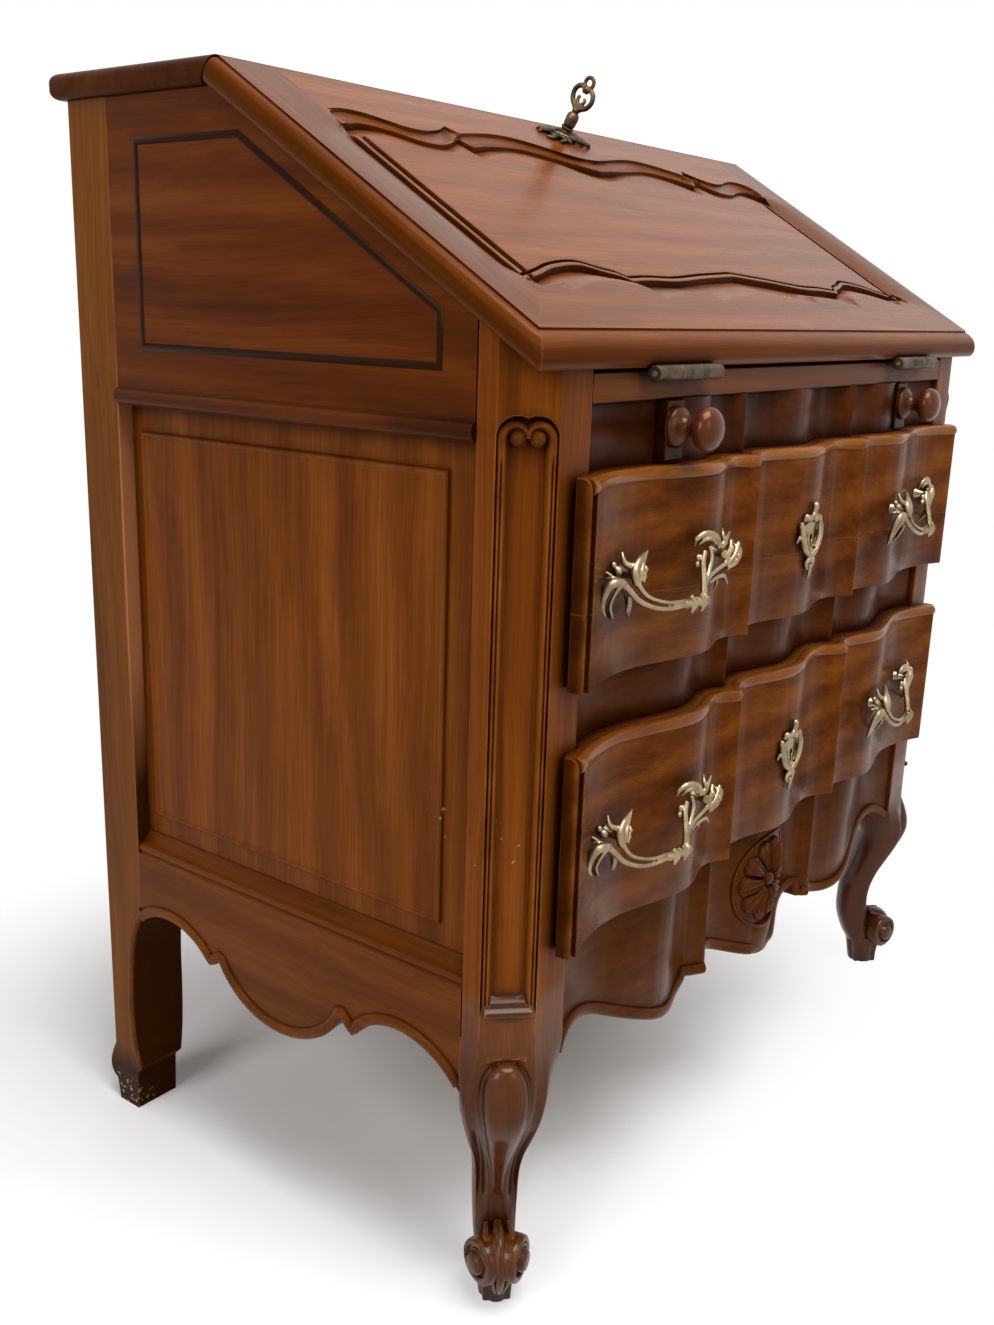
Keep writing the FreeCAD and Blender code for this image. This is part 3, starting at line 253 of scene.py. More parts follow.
def metal(name, bright, dull, gloss, patina):
    """Old cast metal: bright where hands rub it, dull and dark in the recesses."""
    n = Nodes(bpy.data.materials.new(name))
    spot = n.add("TexCoord", out="Object")
    cloud = n.noise(spot, 60.0, 4.0, 0.6)
    fine = n.noise(spot, 720.0, 3.0, 0.6)
    cover = n.math("MAXIMUM", n.nook(0.007, 0.25, 0.92, 1.0), n.span(cloud, 0.35, 0.72, 0.05, patina))
    colour = n.mix(cover, (*bright, 1), (*dull, 1))
    rough = n.plus(n.plus(gloss, n.times(cover, 0.28)), n.times(fine, 0.06), True)
    height = n.plus(n.times(cloud, 0.7), n.times(fine, 0.3))
    return n.surface(colour, rough, height, 0.18, 0.0004, {"Metallic": 1.0})


def deeper(tones, share):
    return tuple(tuple(c * share for c in tone) for tone in tones)


# dark, middle and light tone of each wood
WALNUT = ((0.062, 0.0125, 0.0012), (0.138, 0.0335, 0.0030), (0.225, 0.066, 0.0085))
WALNUT_DEEP = ((0.040, 0.0070, 0.0006), (0.092, 0.0185, 0.0014), (0.155, 0.040, 0.0045))
WALNUT_OLIVE = ((0.066, 0.0175, 0.0014), (0.142, 0.042, 0.0035), (0.215, 0.074, 0.0100))
# a brighter, lit copy of walnut: painted light on the rolls at the drawer heads
WALNUT_LIT = ((0.085, 0.020, 0.0020), (0.190, 0.055, 0.0055), (0.32, 0.115, 0.018))
PALE = ((0.16, 0.085, 0.035), (0.33, 0.20, 0.095), (0.44, 0.29, 0.15))
CHERRY = ((0.024, 0.0050, 0.0022), (0.060, 0.0130, 0.0055), (0.110, 0.030, 0.012))
BARE, LIT_RUSSET = (0.50, 0.36, 0.22, 1), (0.40, 0.150, 0.060, 1)      # bare wood where worn, and a reddish painted light
# darker spots on the sill and on the scrolls of the canted faces
POST_BLOTS = [(place(x, 473.5, z), (0.024, 0.024, high), share)
              for x in (-393.5, 393.5) for z, high, share in ((270, 0.012, 0.72), (704, 0.015, 0.35))]
# the fall front's finish: a longer reach of painted shade and old wax in its grooves, and its noses shaded
LID_FINISH = {"ior": 1.22, "shaded": ("Z", 0.2, 0.75, 0.50), "wax_and_shade": 1.0, "nook": 0.026}

WOOD = {
    "post": wood("walnut_post", "z", deeper(WALNUT, 1.06), 1.0, 0.4, wear_and_highlight=0.95, black=(0.21, 0.285, 0.66),
                 coat=(0.268, 0.284, 0.36), seam=(0.240, 0.0), blots=POST_BLOTS,
                 worn_flecks_and_lit_patch=[(place(-403, 463, 398), (0.026, 0.026, 0.026), 0.7, 0.69, BARE)]),
    "back_post": wood("walnut_back_post", "z", deeper(WALNUT_OLIVE, 0.84), 2.0, 0.5, 0.36, 1.0,
                      black=(0.040, 0.066, 0.9), shaded=("Y", -0.9, -0.4, 0.9),
                      worn_flecks_and_lit_patch=[(place(-409, 12, 8), (0.03, 0.03, 0.03), 0.85, 0.60, BARE),
                             # painted light: a reddish lit patch on the inner face of the back post
                             (place(-405, 51, 560), (0.03, 0.0045, 0.22), 0.75, 0.10, LIT_RUSSET)]),
    "side_upper": wood("walnut_side_upper", "y", deeper(WALNUT_DEEP, 0.84), 3.3, 1.2, black=(0.7095, 0.7115, 0.22),
                       blots=[(place(-410, 430, 702), (0.03, 0.085, 0.010), 0.5)]),
    "side_panel": wood("walnut_side_panel", "z", deeper(WALNUT, 0.88), 4.1, 0.9,
                       worn_flecks_and_lit_patch=[(place(-399, 404, 408), (0.02, 0.012, 0.03), 0.6, 0.64, BARE)]),
    "apron": wood("walnut_apron", "x", deeper(WALNUT, 0.58), 5.2, 0.5, wear_and_highlight=0.7),
    "side_apron": wood("walnut_side_apron", "y", deeper(WALNUT, 0.70), 5.9, 0.6),
    "rail": wood("walnut_rail", "x", deeper(WALNUT_DEEP, 0.85), 6.4),
    # the frieze is darkened as painted shade under the overhang of the fall front
    "frieze": wood("walnut_frieze", "x", deeper(WALNUT_DEEP, 0.55), 6.8),
    "hinge_rail": wood("walnut_hinge_rail", "x", deeper(WALNUT, 0.85), 6.1),
    # the drawer fronts have the palest edges, worn wood with a painted highlight
    "drawer": wood("walnut_drawer", "x", deeper(WALNUT, 0.76), 7.7, 1.4, 0.28, 1.0, spread=1.15, seam=(0.577, 0.55),
                   shaded=("X", -0.95, -0.7, 0.75)),
    # near-black walnut for the strip standing as painted shade in the cut lines
    "line": wood("walnut_line", "y", deeper(WALNUT_DEEP, 0.16), 3.9, 0.3),
    # the rolls take the lit copy of walnut as painted light
    "drawer_roll": wood("walnut_drawer_roll", "x", WALNUT_LIT, 7.2, 0.6, 0.22, ior=1.36),
    "top": wood("walnut_top", "x", deeper(WALNUT, 0.30), 8.5, ior=1.12),
    "stile": wood("walnut_stile", "y", deeper(WALNUT, 0.78), 9.1, 0.4, 0.27, turn=LID_TURN, **LID_FINISH),
    "lid": wood("walnut_lid", "x", WALNUT, 10.6, 0.7, 0.27, **LID_FINISH),
    # the loper ends are darkened to match, as painted shade under the fall front
    "loper": wood("walnut_loper", "y", deeper(WALNUT_DEEP, 0.5), 11.2),
    "knob": wood("knob_cherry", "y", CHERRY, 15.1, 0.3, 0.20, 0.35, ior=1.42),
}
for axis, seed in (("x", 12.3), ("y", 13.3), ("z", 14.3)):
    WOOD["inside_" + axis] = wood("inside_" + axis, axis, PALE, seed, 0.6, 0.5, 0.2, 0.5)
BRASS = metal("antique_brass", (0.46, 0.345, 0.205), (0.060, 0.042, 0.022), 0.26, 0.65)
BRONZE = metal("dark_bronze", (0.135, 0.092, 0.046), (0.026, 0.018, 0.010), 0.34, 0.9)
# near-black metal for the plug that fills each keyhole as painted shade
KEYHOLE_SHADE = metal("keyhole_dark", (0.02, 0.016, 0.012), (0.006, 0.005, 0.004), 0.6, 0.9)
IRON = metal("lock_iron", (0.36, 0.34, 0.31), (0.10, 0.08, 0.065), 0.38, 0.8)

WOOD_BEVEL, METAL_BEVEL = 1.2, 0.5
# the starts of the names of the CAD nodes in each finish
NODE_WOOD = {
    "post": "front_post",
    "back_post": "back_post",
    "side_upper": "side_upper",
    "side_panel": "side_panel",
    "apron": "front_apron",
    "side_apron": "side_apron",
    "rail": "drawer_rail",
    "frieze": "frieze",
    "hinge_rail": "hinge_rail",
    "drawer": "upper_front lower_front",
    "top": "top_board",
    "stile": "fall_stile",
    "lid": "fall_rail fall_panel",
    "loper": "loper_left loper_right",
    "inside_x": "writing_bed back_rails loper_deck gallery_shelf upper_back upper_bottom lower_back lower_bottom "
                "small_drawer",
    "inside_y": "drawer_runners loper_guides upper_sides lower_sides",
    "inside_z": "back_panel gallery_uprights",
    "knob": "loper_knob small_knob",
}
NODE_METAL = [
    (BRASS, "upper_pulls lower_pulls upper_escutcheon lower_escutcheon"),
    (BRONZE, "fall_escutcheon fall_key hinge_leaves"),
    (IRON, "hinge_pins fall_strike fall_lock fall_bolt upper_lock upper_bolt lower_lock lower_bolt"),
]
BENT = ("upper_front", "lower_front", "front_apron", "drawer_rail", "frieze")


def dress(starts, material, bevel):
    """CAD nodes with their finish and softened arrises."""
    for node in NODES:
        if not node.startswith(tuple(starts.split())):
            continue
        obj = NODES[node]
        obj.data.materials.clear()
        obj.data.materials.append(material)
        obj.data.shade_smooth()
        weld = obj.modifiers.new("weld", "WELD")
        weld.merge_threshold = 0.00002
        arris = obj.modifiers.new("arris", "BEVEL")
        arris.width = bevel * MM
        arris.segments = 2
        arris.limit_method = "ANGLE"
        arris.angle_limit = math.radians(32)
        arris.harden_normals = node in BENT
        if node not in BENT:
            flat = obj.modifiers.new("flat", "WEIGHTED_NORMAL")
            flat.weight = 100
            flat.keep_sharp = True


for key, starts in NODE_WOOD.items():
    dress(starts, WOOD[key], WOOD_BEVEL)
for material, starts in NODE_METAL:
    dress(starts, material, METAL_BEVEL)


# --- building shapes

def smooth_line(points, steps=6):
    """A Catmull-Rom line through the points."""
    points = [Vector(p) for p in points]
    ends = [points[0] * 2 - points[1]] + points + [points[-1] * 2 - points[-2]]
    line = []
    for a, b, c, d in zip(ends, ends[1:], ends[2:], ends[3:]):
        for k in range(steps):
            t = k / steps
            line.append(0.5 * (2 * b + (c - a) * t + (2 * a - 5 * b + 4 * c - d) * t ** 2
                               + (3 * b - a - 3 * c + d) * t ** 3))
    return line + [points[-1]]


def along_table(table, at):
    """Values of a table of rows (place, value, value ...) at a place, eased between the rows."""
    rows = sorted(table)
    at = min(max(at, rows[0][0]), rows[-1][0])
    for low, high in zip(rows, rows[1:]):
        if at <= high[0]:
            k = rows.index(low)
            before = rows[k - 1] if k else low
            after = rows[k + 2] if k + 2 < len(rows) else high
            span = high[0] - low[0]
            t = (at - low[0]) / span
            found = []
            for j in range(1, len(low)):
                m0 = (high[j] - before[j]) / (high[0] - before[0]) * span
                m1 = (after[j] - low[j]) / (after[0] - low[0]) * span
                found.append((2 * t ** 3 - 3 * t ** 2 + 1) * low[j] + (t ** 3 - 2 * t ** 2 + t) * m0
                             + (3 * t ** 2 - 2 * t ** 3) * high[j] + (t ** 3 - t ** 2) * m1)
            return found
    return list(rows[-1][1:])


def ease(low, high, value):
    t = min(max((value - low) / (high - low), 0.0), 1.0)
    return t * t * (3 - 2 * t)


def signed_power(value, power):
    return math.copysign(abs(value) ** power, value)


class Shape:
    """Vertices and faces of one or more closed shells."""

    def __init__(self):
        self.points = []
        self.faces = []

    def loft(self, rings, loop=False):
        """Skin over equal rings of points, with both ends closed or the last joined to the first."""
        start = len(self.points)
        size = len(rings[0])
        count = len(rings)
        for ring in rings:
            self.points += [Vector(p) for p in ring]
        for row in range(count if loop else count - 1):
            a = start + row * size
            b = start + (row + 1) % count * size
            for k in range(size):
                n = (k + 1) % size
                self.faces.append((a + k, a + n, b + n, b + k))
        if not loop:
            self.faces.append(tuple(start + k for k in reversed(range(size))))
            self.faces.append(tuple(start + (count - 1) * size + k for k in range(size)))
        return self

    def tube(self, line, sizes, sides=10, flat=1.0, up=None, steps=6, loop=False):
        """A round or flattened bar along a smooth line; sizes are radii spread along it, flat squeezes it along up."""
        line = smooth_line(line, steps) if steps else [Vector(p) for p in line]
        count = len(line)
        rings = []
        side = None
        for k, p in enumerate(line):
            ahead = line[min(k + 1, count - 1)] - line[max(k - 1, 0)]
            if loop:
                ahead = line[(k + 1) % count] - line[k - 1]
            ahead.normalize()
            if up is not None:
                side = ahead.cross(Vector(up))
            elif side is None:
                side = ahead.orthogonal()
            side = (side - ahead * side.dot(ahead)).normalized()
            rise = side.cross(ahead)
            spot = k / max(count - 1, 1) * (len(sizes) - 1)
            low = min(int(spot), len(sizes) - 2) if len(sizes) > 1 else 0
            r = sizes[0] if len(sizes) == 1 else sizes[low] + (sizes[low + 1] - sizes[low]) * (spot - low)
            rings.append([p + side * (r * c) + rise * (r * flat * s) for c, s in around(sides)])
        return self.loft(rings, loop)

    def ball(self, centre, radius, sides=14):
        rows = max(6, sides // 2)
        rings = []
        for row in range(rows + 1):
            tilt = math.pi * (0.02 + 0.96 * row / rows)
            high, wide = math.cos(tilt), math.sin(tilt)
            rings.append([Vector(centre) + Vector((wide * c * radius, wide * s * radius, high * radius))
                          for c, s in around(sides)])
        return self.loft(rings)

    def turned(self, outline, centre, axis, sides=40):
        """A turned body: outline rows are (radius, distance along the axis)."""
        axis = Vector(axis).normalized()
        side = axis.orthogonal().normalized()
        rise = axis.cross(side)
        return self.loft([[Vector(centre) + axis * far + (side * c + rise * s) * radius for c, s in around(sides)]
                          for radius, far in outline])

    def strands(self, table, balls=(), slim=1.0):
        """Bars and balls of a casting: table rows are radii and points."""
        for sizes, points in table:
            self.tube(points, [r * slim for r in sizes], steps=5)
        for centre, radius in balls:
            self.ball(centre, radius)
        return self

    def moved(self, change):
        self.points = [change(p) for p in self.points]
        return self

    def flipped(self):
        """The same shape for the other side of the desk."""
        other = Shape()
        other.points = [Vector((-p.x, p.y, p.z)) for p in self.points]
        other.faces = [tuple(reversed(f)) for f in self.faces]
        return other

    def mesh(self, name):
        mesh = bpy.data.meshes.new(name)
        mesh.from_pydata(self.points, [], self.faces)
        return mesh

    def outward_mesh(self, name):
        """The mesh with all its faces turned outwards."""
        mesh = self.mesh(name)
        net = bmesh.new()
        net.from_mesh(mesh)
        bmesh.ops.recalc_face_normals(net, faces=net.faces)
        net.to_mesh(mesh)
        net.free()
        return mesh


def show(name, data):
    obj = bpy.data.objects.new(name, data)
    bpy.context.scene.collection.objects.link(obj)
    return obj


def worked(obj):
    """The mesh of an object with its modifiers carried out."""
    return bpy.data.meshes.new_from_object(obj.evaluated_get(bpy.context.evaluated_depsgraph_get()))


def link(name, mesh, material, body, angle=38):
    obj = show(name, mesh)
    mesh.name = name
    mesh.materials.clear()
    mesh.materials.append(material)
    mesh.shade_smooth()
    mesh.set_sharp_from_angle(angle=math.radians(angle))
    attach(obj, body)
    return obj


def make(name, shape, material, body, angle=38):
    """A piece from a shape."""
    return link(name, shape.outward_mesh(name), material, body, angle)


def make_both(*rows, body="case"):
    """Pieces of both sides of the desk: name, shape of the left one, material, angle, replaced node or None."""
    for word in ("left", "right"):
        for name, shape, material, angle, node in rows:
            one = shape if word == "left" else shape.flipped()
            piece = make(name + word, one, material, body, angle)
            if node:
                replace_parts(piece, node + word)


def cast(name, shape, material, body, voxel):
    """A piece whose shells run into each other as in a casting."""
    rough = show(name + "_rough", shape.mesh(name + "_rough"))
    fuse = rough.modifiers.new("fuse", "REMESH")
    fuse.mode = "VOXEL"
    fuse.voxel_size = voxel * MM
    soften = rough.modifiers.new("soften", "SMOOTH")
    soften.factor = 0.5
    soften.iterations = 2
    mesh = worked(rough)
    bpy.data.objects.remove(rough)
    return link(name, mesh, material, body, 60)


def face_of(node, x, z):
    """y of the front of a CAD node at x and z in millimetres."""
    hit, where, _, _ = NODES[node].ray_cast(Vector((x * MM, -1.0, z * MM)), Vector((0, 1, 0)))
    return where.y if hit else None


# --- front posts

HALF = 409.0
POST_IN = 340.0
POST_FRONT = 489.0
POST_BACK = 440.0
CANT = 31.0
HINGE_Z = 743.0
LID_FRONT = 498.0
LID_END = 379.4
LEG_TOP = 240.0
ROOT2 = math.sqrt(2)


def corner(along, out, z):
    """A point beside the canted face of the left front post."""
    return (-HALF + CANT / 2 + (along - out) / ROOT2, POST_FRONT - CANT / 2 + (along + out) / ROOT2, z)


def flat_corner(x, depth):
    dx = x + HALF - CANT / 2
    dd = depth - POST_FRONT + CANT / 2
    return (dx + dd) / ROOT2, (dd - dx) / ROOT2


REED_AT = 17.4            # middle of a reed on the canted face
REED_HALF = 4.3
SINK = 6.4
STRIP_HALF = 22.0
FIELD_LOW = 276.0         # foot of the sunk strip
SILL_FOOT = FIELD_LOW - 14
SCROLL_Z = 700.0          # middle of the two scrolls at its head
SCROLL_AT = 7.2
EYE = 6.9                 # ball at the end of a scroll
COIL = REED_AT - SCROLL_AT
# sill under the strip: height over the strip's foot, how far it stands out
STRIP_SILL = [(-14, 0.0), (-12.6, 1.6), (-11.4, 4.4), (-9.4, 5.0), (-7.6, 4.2), (-6.4, 1.8), (-2, -1.6), (1, -SINK)]


def strip_height(a, z):
    """How far the carved canted face stands out at a place across and a height."""
    side = abs(a)
    far = math.hypot(side - SCROLL_AT, z - SCROLL_Z)
    inside = 1 - ease(13.6, 14.8, far) if z > SCROLL_Z else 1 - ease(21.2, STRIP_HALF, side)
    inside *= ease(SILL_FOOT, FIELD_LOW - 2, z)
    out = -SINK * inside
    # reeds of two fine rolls, each rolling inwards into a scroll at its head
    if FIELD_LOW - 13 < z <= SCROLL_Z:
        reed = max(0.0, 1 - ((side - REED_AT) / REED_HALF) ** 2) ** 0.5
        split = math.exp(-((side - REED_AT - 0.6) / 0.8) ** 2)
        head = ease(SCROLL_Z - 24, SCROLL_Z, z)
        out += inside * reed * (SINK + 1.6 + 2.0 * head - 2.4 * split * (1 - head))
        out += inside * 0.9 * (1 - min(1, (a / 11.5) ** 2)) if side < 11.5 else 0.0
    if far < 14.6:
        turn = math.atan2(z - SCROLL_Z, side - SCROLL_AT)
        if turn >= 0:
            roll = max(0.0, 1 - ((far - COIL + 1.1 * turn) / (4.3 - 0.45 * turn)) ** 2) ** 0.5
            out = max(out, -SINK + roll * (SINK + 3.6 - 0.3 * turn))
        eye = max(0.0, 1 - (far / EYE) ** 2) ** 0.5
        out = max(out, -SINK + eye * (SINK + 6.2)) if far < EYE else out
    if SILL_FOOT <= z <= FIELD_LOW + 1:
        lift = along_table([(FIELD_LOW + up, rise) for up, rise in STRIP_SILL], z)[0]
        narrow = 20.0 - 0.28 * max(0.0, z - FIELD_LOW + 12)
        out = max(out, lift) if side < narrow else out
    return out


def under_slope(depth):
    return HINGE_Z + (LID_FRONT - depth) * math.tan(LID_SLOPE) - 0.6


def post_body():
    rows = [LEG_TOP + 2 * k for k in range(11)] + [SILL_FOOT + 0.9 * k for k in range(18)]
    rows += [280.0 + 8 * k for k in range(51)] + [SCROLL_Z - 16 + 0.7 * k for k in range(46)] + [718.0, 724.0, 735.0]
    columns = [-STRIP_HALF + 2 * STRIP_HALF * k / 88 for k in range(89)]
    rings = []
    for z in rows + [None]:
        ring = [(-HALF + 1.2, POST_BACK + 0.2), (-HALF, POST_BACK + 1.4), (-HALF, 449), (-HALF, 456.5)]
        for a in columns:
            flat = corner(a * 0.985, strip_height(a, z) if z else 0.0, 0)
            ring.append((flat[0], flat[1]))
        ring += [(-376.5, POST_FRONT), (-358, POST_FRONT), (-POST_IN - 1, POST_FRONT), (-POST_IN, POST_FRONT - 1),
                 (-POST_IN, POST_BACK + 1.2), (-POST_IN - 1.2, POST_BACK + 0.2)]
        rings.append([place(x, d, under_slope(d) if z is None else z) for x, d in ring])
    return rings


# height as a share of the leg, half width, front and back
LEG = [(1.02, 46, 1, -64), (0.93, 42, 6, -60), (0.85, 38, 12, -50), (0.77, 35, 12, -44), (0.69, 31.5, 7, -41),
       (0.6, 26.5, -4, -43), (0.52, 21.5, -13, -48), (0.44, 19.3, -19, -54), (0.35, 18.6, -21.5, -56),
       (0.27, 18, -20, -55), (0.18, 17, -16, -48), (0.12, 15, -12, -40)]
# height as a share of the leg, half width and rise of the leaf on the knee
LEAF = [(0.38, 3.5, 0.4), (0.45, 5.0, 2.4), (0.52, 7.5, 4.2), (0.60, 11.0, 5.8), (0.70, 15.0, 7.2), (0.78, 17.4, 8.2),
        (0.84, 17.0, 8.8), (0.88, 15.0, 8.8), (0.905, 11.6, 8.0), (0.920, 7.2, 5.6), (0.928, 2.0, 0.6)]
PLAN = [flat_corner(x, d) for x, d in ((-HALF, POST_BACK), (-HALF, POST_FRONT - CANT), (-HALF + CANT, POST_FRONT),
                                       (-POST_IN, POST_FRONT), (-POST_IN, POST_BACK))]
LEG_HEART = (4.0, -28.0)
LEG_ROUND = 2 / 2.7       # power that squares the leg's section


def plan_reach(turn):
    """Distance from the heart of the leg to the outline of the post in one direction."""
    ca, so = math.cos(turn), math.sin(turn)
    best = 200.0
    for (a0, o0), (a1, o1) in zip(PLAN, PLAN[1:] + PLAN[:1]):
        ea, eo = a1 - a0, o1 - o0
        cross = ca * eo - so * ea
        if abs(cross) < 1e-9:
            continue
        da, do = a0 - LEG_HEART[0], o0 - LEG_HEART[1]
        far = (da * eo - do * ea) / cross
        share = (da * so - do * ca) / cross
        if far > 0 and -1e-6 <= share <= 1 + 1e-6:
            best = min(best, far)
    return best


def leg_turns(count=72):
    """Directions of the points of a ring, close together in front, with the corners of the post's plan among them."""
    turns = [2 * math.pi * k / count for k in range(count)]
    turns += [math.pi * (0.12 + 0.76 * k / 90) for k in range(91)]
    for a, o in PLAN:
        turns.append(math.atan2(o - LEG_HEART[1], a - LEG_HEART[0]) % (2 * math.pi))
    return sorted(set(round(t, 5) for t in turns))


def leaf_relief(a, q):
    """Rise of the leaf on the knee, of the channel round it and of the brow over its head."""
    wide, rise = along_table(LEAF, q) if LEAF[0][0] < q < LEAF[-1][0] else (0.0, 0.0)
    relief = 0.0
    if abs(a) < wide:
        relief = rise * (1 - (a / wide) ** 2) ** 0.38
    elif wide:
        relief = -1.8 * math.exp(-((abs(a) - wide - 1.6) / 1.8) ** 2) * ease(0.36, 0.5, q)
    brow = (q * LEG_TOP - 227.5 + 0.012 * a * a) / 1.7
    return relief + (2.2 * math.exp(-brow * brow) * (1 - ease(15, 20, abs(a))) if q > 0.88 else 0.0)


def leg_rings(rows=112):
    rings = []
    turns = leg_turns()
    for row in range(rows):
        q = 0.12 + 0.88 * row / (rows - 1)
        wide, front, rear = along_table(LEG, q)
        square = ease(0.72, 0.985, q)
        ring = []
        for turn in turns:
            c, s = math.cos(turn), math.sin(turn)
            a = wide * signed_power(c, LEG_ROUND)
            o = (front + rear) / 2 + (front - rear) / 2 * signed_power(s, LEG_ROUND)
            # a hollow runs down beside the leaf, a bead down each edge of the leg
            if s > 0:
                share = abs(a) / wide
                hollow = math.exp(-((share - 0.68) / 0.17) ** 2) * ease(0.28, 0.40, q) * (1 - ease(0.82, 0.95, q))
                o -= 5.6 * hollow
                lip = math.exp(-((share - 0.93) / 0.06) ** 2) * ease(0.2, 0.35, q) * (1 - ease(0.86, 0.97, q))
                o += 2.6 * lip
            reach = plan_reach(turn)
            a = a * (1 - square) + (LEG_HEART[0] + reach * c) * square
            o = o * (1 - square) + (LEG_HEART[1] + reach * s) * square
            if s > 0:
                o += leaf_relief(a, q)
            x, d, z = corner(a, o, q * LEG_TOP)
            if q > 0.79:
                x = min(x, -POST_IN)
                d = max(d, POST_BACK)
            ring.append(place(x, d, z))
        rings.append(ring)
    return rings


FOOT_AT = -9.0            # middle of the scroll foot before the canted face
FOOT_Z = 43.0
WHORL = 19.5
# volute of the foot: distance along its axis, radius
DRUM = [(0, WHORL - 1), (9, WHORL), (17, WHORL), (20, WHORL - 0.6), (21.4, WHORL - 2.2), (21.2, 14.6), (19.4, 13.6),
        (19.2, 10.2), (19.8, 9.4), (24.0, 9.0), (25.6, 7.4), (26.2, 4.2), (26.3, 0.3)]
# toe: height, half width, front and back
TOE = [(0, 12.0, -4, -33), (1.2, 13.0, -3, -34), (12, 13.6, -3, -36), (24, 15.5, -2, -38), (34, 15.5, -3, -38)]


def whorl(shape, side):
    """One volute of the foot: a drum with a spiral fillet and a button, on an axis level with the floor."""
    size = math.hypot(side, 0.55)
    ua, uo = side / size, 0.55 / size

    def spot(far, radius, turn):
        a = ua * far - uo * radius * math.cos(turn)
        o = FOOT_AT + uo * far + ua * radius * math.cos(turn)
        return place(*corner(a, o, FOOT_Z + radius * math.sin(turn)))

    shape.loft([[spot(far, radius, 2 * math.pi * k / 40) for k in range(40)] for far, radius in DRUM])
    # the fillet that winds in towards the button
    path = []
    for k in range(37):
        turn = math.pi * 0.55 - 2 * math.pi * 1.15 * k / 36
        path.append(spot(20.0, WHORL - 1.6 - 7.4 * k / 36, turn))
    shape.tube(path, [2.1 * MM, 1.9 * MM, 1.2 * MM], sides=8, steps=0)


def foot():
    shape = Shape()
    whorl(shape, -1.0)
    whorl(shape, 1.0)
    # three ridges run over the front between the whorls
    for a, size, spread in ((0.0, 4.6, 1.0), (-8.0, 2.4, 1.25), (8.0, 2.4, 1.25)):
        route = [(a * 0.9, -17, 66), (a, -9, 63.5), (a * 1.0, 3, 58), (a * 0.9, 10.5, 48), (a * 0.7, 12, 36),
                 (a * 0.45, 8.5, 24), (a * 0.3, 5, 16)]
        line = [place(*corner(x * spread, o, z)) for x, o, z in route]
        shape.tube(line, [size * MM * s for s in (0.7, 1, 1, 1, 0.95, 0.75, 0.4)])
    # toe with upright ridges
    rings = []
    for z, wide, front, rear in TOE:
        ring = []
        for k, (c, s) in enumerate(around(48)):
            bulge = 1 + 0.07 * math.cos(8 * (2 * math.pi * k / 48))
            a = wide * bulge * signed_power(c, 0.62)
            o = (front + rear) / 2 + (front - rear) / 2 * bulge * signed_power(s, 0.62)
            ring.append(place(*corner(a, o, z)))
        rings.append(ring)
    return shape.loft(rings)


make_both(("post_shaft_", Shape().loft(post_body()), WOOD["post"], 35, "front_post_"),
          ("cabriole_leg_", Shape().loft(leg_rings()), WOOD["post"], 60, None),
          ("scroll_foot_", foot(), WOOD["post"], 50, None))


# --- drawer pulls, cast in one piece

